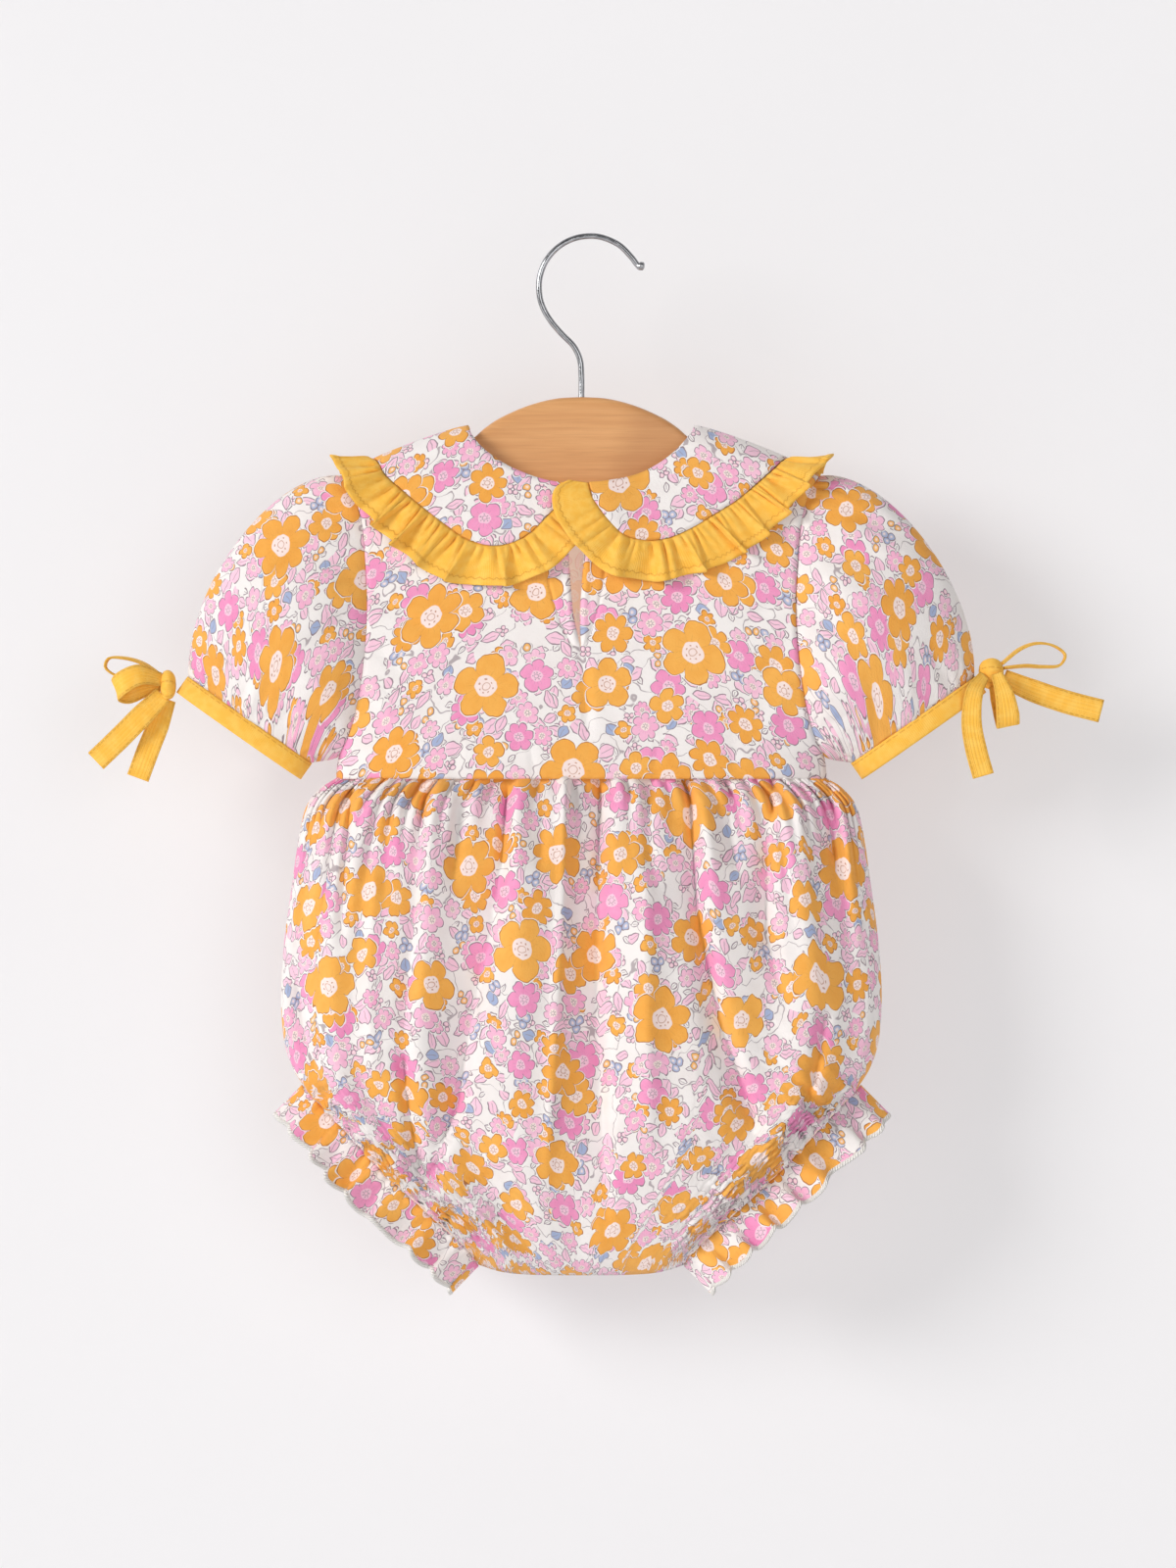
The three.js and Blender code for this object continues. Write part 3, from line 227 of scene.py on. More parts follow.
WOOD_THICK = 9.6
WOOD = table(
    "x top bottom",
    (0, -74.2, -121), (12, -75, -121), (25, -78.3, -121.4), (38, -84, -122.4),
    (45, -88.6, -123.2), (50, -93, -123.8), (54, -96, -124.4), (66, -99.8, -126.4),
    (84, -105, -130), (102, -111, -134.6), (114, -115.6, -138), (119.5, -120, -136.6),
    (121.5, -125, -131.6),
)
WIRE_R = 1.4
HOOK_WIRE = table(
    "x z r",
    (29.7, -12.9, 1), (29, -12.8, 2), (27.4, -12.6, 2.1), (26.2, -12, WIRE_R),
    (23.7, -8.8, WIRE_R), (17.8, -2.9, WIRE_R), (10.2, 0.6, WIRE_R), (4, 1.4, WIRE_R),
    (-4.2, -0.05, WIRE_R), (-11.4, -4.2, WIRE_R), (-16.8, -10.6, WIRE_R), (-19.6, -18.4, WIRE_R),
    (-19.6, -26.8, WIRE_R), (-17.8, -32.7, WIRE_R), (-14.6, -38.2, WIRE_R), (-9.4, -44.4, WIRE_R),
    (-3.6, -50.4, WIRE_R), (-0.7, -56.6, WIRE_R), (0, -64, WIRE_R), (0, -74, WIRE_R),
    (0, -85.7, WIRE_R),
)


def smooth(x, low, high):
    """0 below low, 1 above high and an S-shaped rise between."""
    t = np.clip((x - low) / (high - low), 0, 1)
    return t * t * (3 - 2 * t)


def lerp(a, b, t):
    return a + (b - a) * t


def along(rows, key, name, at):
    """A smooth curve through one column of a table against another: a cubic between two rows, whose
    slope at each row is that of the line through the rows on either side."""
    k, v = rows[key], rows[name]
    if k[-1] < k[0]:
        k, v = k[::-1], v[::-1]
    low, high = np.maximum(np.arange(len(k)) - 1, 0), np.minimum(np.arange(len(k)) + 1, len(k) - 1)
    slope = (v[high] - v[low]) / (k[high] - k[low])
    at = np.clip(at, k[0], k[-1])
    i = np.clip(np.searchsorted(k, at, side="right") - 1, 0, len(k) - 2)
    step = k[i + 1] - k[i]
    t = (at - k[i]) / step
    return ((2 * t**3 - 3 * t**2 + 1) * v[i] + (t**3 - 2 * t**2 + t) * step * slope[i]
            + (3 * t**2 - 2 * t**3) * v[i + 1] + (t**3 - t**2) * step * slope[i + 1])


def place(x, y, z):
    """Points from their three coordinates, which are numbers or arrays of like shape."""
    return np.stack(np.broadcast_arrays(x, y, z), axis=-1).astype(float)


def unit(v):
    return v / np.maximum(np.linalg.norm(v, axis=-1, keepdims=True), 1e-9)


def smooth_path(points, closed=False, per_span=24):
    """A curve through points, with per_span steps between two of them: a centripetal Catmull-Rom
    spline, whose knots are spaced by the square root of the distance. Returns points and the place
    of each in the list of points, as a fractional number."""
    p = np.asarray(points, float)
    if closed:
        p = np.vstack([p[-1], p, p[0], p[1]])
    else:
        p = np.vstack([2 * p[0] - p[1], p, 2 * p[-1] - p[-2]])
    gap = np.sqrt(np.linalg.norm(np.diff(p, axis=0), axis=1))[:, None]
    x0, x1, x2, x3 = p[:-3], p[1:-2], p[2:-1], p[3:]
    d0, d1, d2 = gap[:-2], gap[1:-1], gap[2:]
    leave = ((x1 - x0) / d0 - (x2 - x0) / (d0 + d1) + (x2 - x1) / d1) * d1
    arrive = ((x2 - x1) / d1 - (x3 - x1) / (d1 + d2) + (x3 - x2) / d2) * d1
    t = (np.arange(per_span) / per_span)[None, :, None]
    x1, x2, leave, arrive = x1[:, None], x2[:, None], leave[:, None], arrive[:, None]
    curve = ((2 * t**3 - 3 * t**2 + 1) * x1 + (t**3 - 2 * t**2 + t) * leave
             + (3 * t**2 - 2 * t**3) * x2 + (t**3 - t**2) * arrive).reshape(-1, p.shape[1])
    where = (np.arange(len(x1))[:, None] + t[0, :, 0]).ravel()
    last = p[-2]
    return np.vstack([curve, last]), np.append(where, len(x1))


def evenly(curve, shares):
    """Points at given shares of a curve's length."""
    length = np.append(0, np.cumsum(np.linalg.norm(np.diff(curve, axis=0), axis=1)))
    at = np.asarray(shares) * length[-1]
    return np.stack([np.interp(at, length, curve[:, k]) for k in range(curve.shape[1])], axis=-1)


def outward(points, side=1, closed=False):
    """Unit normals of a grid of points: the cross product of the steps across and down it."""
    if closed:
        across = np.roll(points, -1, 1) - np.roll(points, 1, 1)
    else:
        across = np.gradient(points, axis=1)
    return side * unit(np.cross(across, np.gradient(points, axis=0)))


def folds(rows, x, z):
    """Height of soft folds at x and z: each row's fold runs from its first to its second point, is a
    bell of its half width across, and fades at both ends."""
    height = np.zeros(np.broadcast(x, z).shape)
    for x1, z1, x2, z2, width, out in rows:
        dx, dz = x2 - x1, z2 - z1
        length = math.hypot(dx, dz)
        t = ((x - x1) * dx + (z - z1) * dz) / length**2
        off = ((x - x1) * dz - (z - z1) * dx) / length
        fade = smooth(t, -0.12, 0.2) * (1 - smooth(t, 0.55, 1.12))
        height += out * np.exp(-((off / width) ** 2)) * fade
    return height


def near_line(x, z, line):
    """Distance of each place to a bent line, and how far along the line its nearest point lies, as a
    share of the line's length."""
    line = np.asarray(line, float)
    nearest, where, start = np.full(x.shape, 1e9), np.zeros(x.shape), 0.0
    for a, b in zip(line[:-1], line[1:]):
        way, length = b - a, math.hypot(*(b - a))
        t = np.clip(((x - a[0]) * way[0] + (z - a[1]) * way[1]) / length**2, 0, 1)
        off = np.hypot(x - a[0] - t * way[0], z - a[1] - t * way[1])
        where = np.where(off < nearest, start + t * length, where)
        nearest = np.minimum(off, nearest)
        start += length
    return nearest, where / start


def long_folds(rows, x, z):
    """Height of the long folds that fall from a seam. Each follows its own line down the cloth, is a
    bell of one half width on its left and another on its right, and fades out over its last third."""
    height = np.zeros(x.shape)
    for out, left, right, *path in rows:
        path = np.array(path, float)
        off = x - np.interp(-z, -path[:, 1], path[:, 0])
        t = (path[0, 1] - z) / (path[0, 1] - path[-1, 1])
        bell = np.exp(-np.abs(off / np.where(off < 0, left, right)) ** 1.35)
        height += LONG_FOLD_SCALE * out * bell * smooth(t, -0.1, 0.04) * (1 - smooth(t, 0.7, 1.1))
    return height


def arc_across(points):
    """The cloth's length along each row from its middle column, and the half length of each row."""
    step = np.linalg.norm(np.diff(points, axis=1), axis=-1)
    run = np.concatenate([np.zeros((len(points), 1)), np.cumsum(step, axis=1)], axis=1)
    middle = run[:, run.shape[1] // 2][:, None]
    return run - middle, (run[:, -1] / 2)[:, None]


def arc_down(points):
    step = np.linalg.norm(np.diff(points, axis=0), axis=-1)
    return np.concatenate([np.zeros((1, points.shape[1])), np.cumsum(step, axis=0)], axis=0)


# Meshes.


def make_mesh(name, points, faces, uv=None):
    """An object at the origin from points in the garment's own millimetres and a list of faces, with
    a UV for each corner of each face."""
    mesh = bpy.data.meshes.new(name)
    mesh.from_pydata(((points.reshape(-1, 3) + (GARMENT_X, 0, 0)) * MM).tolist(), [], faces)
    if uv is not None:
        layer = mesh.uv_layers.new(name="cloth")
        layer.data.foreach_set("uv", np.asarray(uv, np.float32).ravel())
    mesh.polygons.foreach_set("use_smooth", np.ones(len(mesh.polygons), bool))
    mesh.update()
    made = bpy.data.objects.new(name, mesh)
    bpy.context.scene.collection.objects.link(made)
    return made


def quads(index):
    """The quads between the neighbours in a grid of point numbers."""
    corners = [index[:-1, :-1], index[1:, :-1], index[1:, 1:], index[:-1, 1:]]
    return np.stack(corners, -1).reshape(-1, 4)


def grid_faces(rows, cols, closed=False):
    """Quads over a grid of rows by cols points. A closed grid comes round to its first column."""
    index = np.arange(rows * cols).reshape(rows, cols)
    return quads(np.hstack([index, index[:, :1]]) if closed else index)


def tube(name, rings, uv=None):
    """A skin over rings of points, with a flat face on each end."""
    count, sides = rings.shape[:2]
    ends = [list(range(sides)), list(range(sides * count - 1, sides * (count - 1) - 1, -1))]
    return make_mesh(name, rings, grid_faces(count, sides, closed=True).tolist() + ends, uv)


def corner_uv(uv):
    """The UV of each quad's corners, from a grid of UVs in millimetres."""
    quads = grid_faces(*uv.shape[:2])
    return uv.reshape(-1, 2)[quads.ravel()] * MM


def dress(piece, finish, nodes=()):
    """Gives a piece its finish and its place in the frame, in the stead of the CAD nodes named."""
    piece.data.materials.append(finish)
    if nodes:
        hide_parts(*nodes)
    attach(piece, "root")


def thicken(piece, thick):
    """Gives a sheet its thickness to both sides. The inner skin takes the second finish, if any."""
    wall = piece.modifiers.new("thickness", "SOLIDIFY")
    wall.thickness = thick * MM
    wall.offset = 0
    wall.material_offset = 1


def cloth(name, points, uv, finish,
          thick=CLOTH_SHOWN, closed=False, inside=None):
    """A sheet of cloth from a grid of points down its middle, thickened to both sides. Its faces are
    turned away from the middle plane, so that its inner skin is the wrong side of the cloth."""
    turned_out = (outward(points, 1, closed)[..., 1] * np.sign(points[..., 1])).mean() < 0
    faces, corners = grid_faces(*points.shape[:2], closed), corner_uv(uv)
    if not turned_out:
        faces, corners = faces[:, ::-1], corners.reshape(-1, 4, 2)[:, ::-1].reshape(-1, 2)
    piece = make_mesh(name, points, faces.tolist(), corners)
    thicken(piece, thick)
    dress(piece, finish, (name.replace("_cloth", ""),))
    if inside:
        piece.data.materials.append(inside)


# Where the cloth lies.


def shoulder_z(x):
    """Height of the shoulder line: level across the neck, then falling with an eased bend."""
    past = np.abs(x) - NECK_HALF
    return NECK_Z - SHOULDER_FALL * (np.hypot(past, SHOULDER_EASE) + past) / 2


def bodice_depth(x, z):
    """How far the bodice stands off the middle plane: its section's depth times the fourth-power
    round-off towards its sides."""
    share = np.minimum(np.abs(x) / along(BODICE_SECTIONS, "z", "half", z), 1)
    return along(BODICE_SECTIONS, "z", "depth", z) * np.sqrt(1 - share**4)


def on_bodice(x, down, side, lift=0.0):
    """A point of the bodice from x and the length down the cloth from the shoulder line: a quarter
    arch over the hanger, then straight down. side is -1 for the back and 1 for the front."""
    arch = ARCH + lift
    turn = np.minimum(down / arch, math.pi / 2)
    z = shoulder_z(x) + lift - arch * (1 - np.cos(turn)) - np.maximum(down - arch * math.pi / 2, 0)
    return place(x, side * np.sin(turn) * (bodice_depth(x, z) + lift), z)


def down_to(x, z, lift=0.0):
    """The length down the cloth from the shoulder line to a height z."""
    arch = ARCH + lift
    below = np.maximum(shoulder_z(x) + lift - z, 0)
    return np.where(below < arch, arch * np.arccos(1 - np.minimum(below / arch, 1)),
                    below + arch * (math.pi / 2 - 1))


def bodice_flat(u, v, neck_drop):
    """x and the length down of a place u across and v down a bodice panel: a Coons patch between its
    top edge (shoulders and neckline), its waist and its two sides."""

    def top(u):
        in_neck = np.clip((u - SHOULDER_SHARE) / (1 - 2 * SHOULDER_SHARE), 0, 1)
        turn = math.pi * (1 - np.cos(math.pi * in_neck)) / 2
        edge = np.where(u < 0.5, u, 1 - u) / SHOULDER_SHARE
        neck = (in_neck > 0) & (in_neck < 1)
        out = np.sign(u - 0.5) * lerp(SHOULDER_HALF, NECK_HALF, np.minimum(edge, 1))
        x = np.where(neck, -NECK_HALF * np.cos(turn), out)
        drop = down_to(x, shoulder_z(NECK_HALF) - neck_drop * np.sin(turn))
        return x, np.maximum(SEAM_GAP / 2, np.where(neck, drop, 0))

    def bottom(u):
        x = lerp(-WAIST_HALF, WAIST_HALF, u)
        return x, down_to(x, WAIST_Z + SEAM_GAP / 2)

    edge_z = lerp(BODICE_SIDE["z"][0], WAIST_Z + SEAM_GAP / 2, v)
    edge_x = along(BODICE_SIDE, "z", "x", edge_z)
    edge_down = np.where(v == 0, SEAM_GAP / 2, down_to(edge_x, edge_z))
    tops, bottoms = top(u), bottom(u)
    zero, one = np.zeros_like(u), np.ones_like(u)
    t0, t1, b0, b1 = top(zero), top(one), bottom(zero), bottom(one)
    flat = []
    for k, (left, right) in enumerate([(-edge_x, edge_x), (edge_down, edge_down)]):
        corners = lerp(lerp(t0[k], b0[k], v), lerp(t1[k], b1[k], v), u)
        flat.append(lerp(tops[k], bottoms[k], v) + lerp(left, right, u) - corners)
    return flat


def bodice_place(u, v, side, neck_drop):
    x, down = bodice_flat(u, v, neck_drop)
    p = on_bodice(x, down, side)
    p[..., 1] = side * np.maximum(np.abs(p[..., 1]), SEAM_GAP / 2)
    return p, x, down


# Creases of the bodice: from x, z to x, z, half width, height.
BACK_CREASES = (
    (1, -196, 3.5, -240, 2.6, -0.9), (5, -192, 9, -236, 4, 0.5),
    (-96, -168, -70, -186, 3.2, -0.8), (-98, -190, -74, -214, 3.4, -0.9), (-99, -204, -86, -232, 3, 0.8),
    (97, -166, 74, -184, 3.2, -0.8), (98, -188, 78, -216, 3.4, -0.8), (99, -206, 84, -234, 3, 0.7),
    (-40, -150, -46, -186, 5, -0.5), (44, -150, 50, -190, 5, -0.5),
    (-60, -252, -56, -232, 2.2, -0.6), (-22, -252, -24, -236, 2, -0.5), (34, -252, 36, -234, 2.2, -0.6),
    (72, -252, 70, -230, 2.4, -0.6),
)
FRONT_CREASES = (
    (0, -150, -4, -210, 4, -0.7), (-95, -170, -68, -190, 3.4, -0.8), (96, -172, 66, -192, 3.4, -0.8),
    (-98, -200, -80, -230, 3, 0.7), (98, -202, 82, -232, 3, 0.7),
    (-50, -252, -46, -230, 2.4, -0.6), (48, -252, 50, -232, 2.4, -0.6),
)
# The pressed lines of the facing behind the slit, down each side of it.
FACING_LINES = (
    ((-16.5, -156), (-13.4, -169), (-10, -180), (-5, -190), (0.5, -193.8)),
    ((11, -154.6), (10, -162.4), (7.8, -174), (4.6, -184), (1.8, -191)),
)


def seam_roll(share):
    """How far a panel's edge rolls inwards to its seam, over the last hundredths of its length."""
    return -0.5 * np.exp(-((share / 0.010) ** 2))


def bodice_front(finish, inside):
    """The front bodice: the patch on an even grid, pushed out along its normals by its creases."""
    u, v = np.meshgrid(np.linspace(0, 1, 121), np.linspace(0, 1, 81) ** 1.15)
    p, x, down = bodice_place(u, v, 1, FRONT_NECK_DROP)
    height = folds(FRONT_CREASES, x, p[..., 2]) + seam_roll(1 - v)
    p = p + outward(p, 1) * (height * smooth(down, 2, 20))[..., None]
    uv = np.stack([x + 300, -down], axis=-1)
    cloth("bodice_front_cloth", p, uv, finish,
          inside=inside)


def across_to(target, v, neck_drop):
    """The share u at which each row v of the back reaches x = target(z), by halving."""
    low, high = np.full_like(v, 0.3), np.full_like(v, 0.7)
    for _ in range(40):
        u = (low + high) / 2
        p, x, _down = bodice_place(u, v, -1, neck_drop)
        over = x > target(p[..., 2])
        low, high = np.where(over, low, u), np.where(over, u, high)
    return (low + high) / 2


def bodice_back(finish, inside):
    """The back bodice as two halves that meet below the slit: columns crowd towards the slit, whose
    edges are turned in, with the facing's pressed lines beside them."""
    v = np.unique(np.concatenate([np.linspace(0, 0.55, 90), np.linspace(0.55, 1, 50)]))
    reach = (np.exp(2.1 * np.linspace(0, 1, 100)) - 1) / (math.exp(2.1) - 1)
    halves = []
    for name, hand in (("left", -1), ("right", 1)):
        edge = across_to(lambda z: np.where(z < -192, -0.3, along(BACK_SLIT, "z", name, z)), v,
                         BACK_NECK_DROP)
        share = reach[None, :] if hand > 0 else 1 - reach[None, ::-1]
        u = lerp(edge[:, None], 1.0, share) if hand > 0 else edge[:, None] * share
        p, x, down = bodice_place(u, np.broadcast_to(v[:, None], u.shape), -1, BACK_NECK_DROP)
        z = p[..., 2]
        open_here = smooth(z, -193, -189)
        from_slit = np.abs(x - x[:, -1 if hand < 0 else 0][:, None])
        height = folds(BACK_CREASES, x, z) + seam_roll(1 - v)[:, None]
        height += open_here * (0.7 * np.exp(-((from_slit - 1.6) / 1.5) ** 2) - 1.1 * np.exp(-from_slit / 0.5))
        line = FACING_LINES[0 if hand < 0 else 1]
        height -= 0.9 * np.exp(-((near_line(x, z, line)[0] / 0.7) ** 2))
        p = p + outward(p, -1) * (height * smooth(down, 2, 20))[..., None]
        halves.append((p, np.stack([x, -down], axis=-1)))
    points, faces, uvs, first = [], [], [], 0
    for p, uv in halves:
        points.append(p.reshape(-1, 3))
        faces.append(grid_faces(*p.shape[:2]) + first)
        uvs.append(corner_uv(uv))
        first += p.shape[0] * p.shape[1]
    keys, back = np.unique(np.round(np.vstack(points), 4), axis=0, return_inverse=True)
    faces = back.ravel()[np.vstack(faces)]
    piece = make_mesh("bodice_back_cloth", keys, faces.tolist(), np.vstack(uvs))
    thicken(piece, CLOTH_SHOWN)
    dress(piece, finish, ("bodice_back",))
    piece.data.materials.append(inside)


# The bubble.

# Long folds: height, half width to the left and right, then x, z down the line.
BACK_LONG = (
    (-3.2, 7, 3, (-73, -254), (-77, -310), (-81, -361), (-82, -398)),
    (-2.8, 5, 2.4, (-107, -254), (-110, -293), (-112, -332)),
    (-4.4, 9, 2.8, (-35, -254), (-36, -285), (-42, -327), (-51, -365), (-57, -403), (-67, -430), (-73, -456)),
    (-4.4, 9, 2.6, (9, -254), (8, -316), (7.5, -366), (9.5, -408), (12, -454)),
    (1.8, 3, 3, (-7.5, -254), (-9, -316), (-11.6, -366), (-16, -440)),
    (-4.4, 8, 2.8, (49, -254), (50.5, -270), (53.7, -313), (58, -336), (65, -368), (78, -405), (84, -432)),
    (-3, 5, 2.4, (89, -254), (87, -293), (86, -325), (95, -356)),
    (-2.4, 4, 2.4, (116, -254), (117.5, -280), (119, -300)),
    (-2.6, 4, 2.4, (-132, -352), (-129, -372), (-121, -398)),
    (-2.8, 3, 4, (-83, -384), (-80, -410), (-74, -440)),
    (-1.8, 5, 3, (-57, -254), (-58, -278), (-60, -306)),
    (-2, 5, 3, (-16, -254), (-18, -276), (-19, -298)),
    (-1.8, 4, 3, (30, -254), (31, -280), (34, -304)),
    (-2, 4, 3, (68, -254), (69, -276), (73, -300)),
    (-2.2, 4, 3, (113, -362), (110, -384), (104, -408)),
    (1.6, 6, 5, (-96, -300), (-99, -350), (-96, -402)),
    (1.6, 7, 6, (30, -300), (31, -360), (32, -430)),
)
FRONT_LONG = (
    (-3, 7, 3, (76, -254), (80, -312), (84, -372), (82, -402)),
    (-4.2, 8, 3, (38, -254), (40, -300), (45, -352), (54, -404), (62, -440)),
    (-4, 9, 3, (-6, -254), (-7, -320), (-9, -380), (-12, -440)),
    (-4.2, 3, 8, (-46, -254), (-48, -300), (-56, -350), (-66, -402), (-74, -430)),
    (-2.8, 3, 5, (-86, -254), (-88, -296), (-94, -340)),
    (-2.8, 5, 3, (104, -254), (108, -296), (111, -330)),
    (-2.2, 4, 3, (-118, -256), (-120, -280), (-121, -304)),
    (-2, 4, 3, (18, -254), (19, -276), (20, -300)),
    (-2, 4, 3, (-24, -254), (-25, -278), (-27, -306)),
    (-2.6, 3, 4, (-108, -372), (-102, -396), (-92, -420)),
    (-2.6, 4, 3, (112, -370), (106, -394), (96, -420)),
    (1.6, 6, 6, (-30, -300), (-32, -360), (-34, -430)),
)


def bubble_base(z, share, side):
    """The bubble without its folds: across, the fourth-power round-off between the row's depth and
    that of its edge."""
    s = share * (1.5 - 0.5 * share * share)
    row = {name: along(BUBBLE_ROWS, "z", name, z) for name in BUBBLE_ROWS if name != "z"}
    rounded = np.sqrt(np.maximum(1 - s**4, 0))
    y = row["edge_depth"] + (row["depth"] - row["edge_depth"]) * rounded
    return place(row["half"] * s, side * y, lerp(z, row["edge_z"], s**4)), row


def gathers(share, drop, kind, seed):
    """Uneven gathers below a seam: each is a narrow trough at its own place, with its own depth and
    its own length down the cloth, between two soft rounds."""
    count, longest, depth = kind
    draw = np.random.default_rng(seed)
    at = (np.arange(count) + 0.5 + draw.uniform(-0.32, 0.32, count)) / count * 2 - 1
    deep = depth * draw.uniform(0.45, 1.25, count)
    reach = draw.uniform(0.2, 1, count) ** 1.6 * longest + 9
    width = draw.uniform(0.5, 1.1, count) * 0.72 / count
    bend = draw.uniform(-0.35, 0.35, count) / count
    height, drop = np.zeros(np.broadcast(share, drop).shape), np.maximum(drop, 0)
    for k in range(count):
        fade = np.exp(-((drop / reach[k]) ** 1.3))
        off = np.abs(share - at[k] - bend[k] * drop / 30) / (width[k] * (1 + 0.9 * drop / reach[k]))
        height += deep[k] * fade * (0.42 * np.exp(-((off - 1.15) ** 2) * 2.2) - np.exp(-(off**1.4) * 1.5))
    return height


def bubble(side, name, big, hung, seed, u_shift, finish, inside):
    """One panel of the bubble: the base form, the large folds of the solid, the listed long folds,
    uneven waist gathers, and the puff and small gathers drawn up by each leg's elastic."""
    t = np.linspace(0, 1, 118)
    z = lerp(BUBBLE_ROWS["z"][0], BUBBLE_ROWS["z"][-1], 0.25 * t + 0.75 * t**1.35)[:, None]
    crowded = math.pi / 2 * 0.985
    share = np.sin(np.linspace(-1, 1, 381) * crowded)[None, :] / math.sin(crowded)
    p, row = bubble_base(z, share, side)
    down = np.interp(-z, -BUBBLE_ROWS["z"], np.linspace(0, 1, len(BUBBLE_ROWS["z"])))
    height = np.zeros(p.shape[:2])
    for at, out, width, lean in zip(*(big[key] for key in ("at", "out", "width", "lean"))):
        off = (share - at - lean * down * 2) / (width * (1 + 0.5 * down))
        height += row["fold"] * out * np.exp(-off * off)
    drop = BUBBLE_ROWS["z"][0] - z
    free = 1 - share**8
    height += long_folds(hung, p[..., 0], p[..., 2])
    height = free * (height + gathers(share, drop, WAIST_GATHERS, seed) * smooth(drop, -1, 3))
    drawn = 0.0
    for hand in (-1, 1):
        leg = np.stack([hand * BUBBLE_ROWS["half"], BUBBLE_ROWS["edge_z"]], axis=-1)[FIRST_LEG_ROW:]
        away, where = near_line(p[..., 0], p[..., 2], leg)
        bunched = gathers(2 * where - 1, away, LEG_GATHERS, seed + 3 * hand)
        inside_ends = smooth(where, 0, 0.05) * (1 - smooth(where, 0.94, 1))
        drawn = drawn + bunched * smooth(away, -1, 2) * inside_ends
        puff, dip = np.exp(-(((away - 13) / 7) ** 2)), np.exp(-((away / 3) ** 2))
        height += smooth(where, 0, 0.12) * (2 * puff - 1.4 * dip)
    uv_u, half_arc = arc_across(p)
    normal = outward(p, side)
    p = p + normal * (side * drawn * np.sign(normal[..., 1] * side).mean())[..., None]
    p[..., 1] += side * height
    tuck = np.exp(-((drop / 1.6) ** 2))
    p[..., 1] -= side * 1.3 * tuck
    p[..., 2] += 1.1 * tuck * free
    p[..., 1] = side * np.maximum(np.abs(p[..., 1]), SEAM_GAP / 2)
    uv = np.stack([uv_u / half_arc * row["cut"] + u_shift, -arc_down(p) - 180], axis=-1)
    cloth(name + "_cloth", p, uv, finish,
          inside=inside)


def leg_edge(hand, shares):
    """The loop of a leg opening's edge, down the back and up the front."""
    z = BUBBLE_ROWS["z"][FIRST_LEG_ROW:]
    curves = []
    for side in (-1, 1):
        p, _row = bubble_base(z, np.full_like(z, hand), side)
        p[:, 1] = side * np.maximum(np.abs(p[:, 1]), LEG_END_ROUND)
        curves.append(p)
    curve, _where = smooth_path(np.vstack([curves[0], curves[1][::-1]]), closed=True)
    return evenly(curve, shares)


def leg_frill(hand, name, print_finish, inside, thread_finish):
    """The frill beyond a leg's elastic: from the edge outwards, splayed to front and back, with waves
    that grow towards its edge and small gathers that die away from its seam."""
    columns, rows = 420, 15
    t = np.arange(columns) / columns
    out = np.linspace(0.0, 1, rows)[:, None]
    draw = np.random.default_rng(31 + hand)
    ease = np.interp(t, np.linspace(0, 1, 25), np.append(w := draw.uniform(0.35, 1.35, 24), w[0]))
    slip = np.interp(t, np.linspace(0, 1, 12), np.append(w := draw.uniform(-2.4, 2.4, 11), w[0]))
    edge = leg_edge(hand, t)[None]
    calm = smooth(np.abs(edge[..., 1]), LEG_END_ROUND, 7)
    wave = np.sin(2 * math.pi * LEG_WAVES * t + 0.9 * slip) * ease
    fine = np.sin(2 * math.pi * LEG_WAVES * 3 * t + 2.2 * slip) * 0.7 * np.exp(-out * 4)
    splay = np.clip(edge[..., 1] / 10, -1, 1) * 0.28
    direction = np.array([hand * 0.7, 0, -0.714])
    wide = LEG_FRILL * (1 + 0.025 * slip)
    p = edge + direction * (SEAM_GAP + CLOTH / 2 + out * wide)[..., None]
    p[..., 1] += out * wide * splay + calm * (1.3 * LEG_SWING * out * wave + fine)
    swing = np.cos(2 * math.pi * LEG_WAVES * t + 0.9 * slip + 1.1 * np.sin(5 * t * math.pi)) * ease
    ahead = unit(np.roll(edge, -3, 1) - np.roll(edge, 3, 1))
    p += direction * (1.3 * out * swing * calm)[..., None] + ahead * (2.2 * out * wave * calm)[..., None]
    girth = 1.45 * np.linalg.norm(np.diff(np.vstack([edge[0], edge[0][:1]]), axis=0), axis=1).sum()
    around = np.append(t, 1) * girth
    uv = np.stack(np.broadcast_arrays(around + 90 * hand, -out * LEG_FRILL - 500), axis=-1)
    cloth(f"leg_frill_{name}_cloth", p, uv, print_finish,
          closed=True, inside=inside)
    edge_band(f"leg_frill_{name}_overlock", p[-1], p[-2], thread_finish)


def edge_band(name, edge, inside, finish):
    """Overlock thread wrapped round a frill's edge: a flattened ring of eight points about each point
    of the edge, with the stitches' slant left to the finish."""
    away = unit(edge - inside)
    ahead = unit(np.roll(edge, -1, 0) - np.roll(edge, 1, 0))
    normal = unit(np.cross(ahead, away))
    turn = np.arange(8) / 8 * 2 * math.pi
    rings = (edge[:, None] - away[:, None] * 0.55 + away[:, None] * (1.25 * np.cos(turn))[None, :, None]
             + normal[:, None] * (0.72 * np.sin(turn))[None, :, None])
    length = np.append(0, np.cumsum(np.linalg.norm(np.diff(np.vstack([edge, edge[:1]]), axis=0), axis=1)))
    uv = np.stack(np.broadcast_arrays(length[None, :], np.arange(9)[:, None] * 0.9), axis=-1)
    index = np.arange(8 * len(edge)).reshape(8, -1)
    index = np.vstack([index, index[:1]])
    faces = quads(np.hstack([index, index[:, :1]])).tolist()
    piece = make_mesh(name, np.transpose(rings, (1, 0, 2)), faces, corner_uv(uv))
    dress(piece, finish)


# Sleeves.


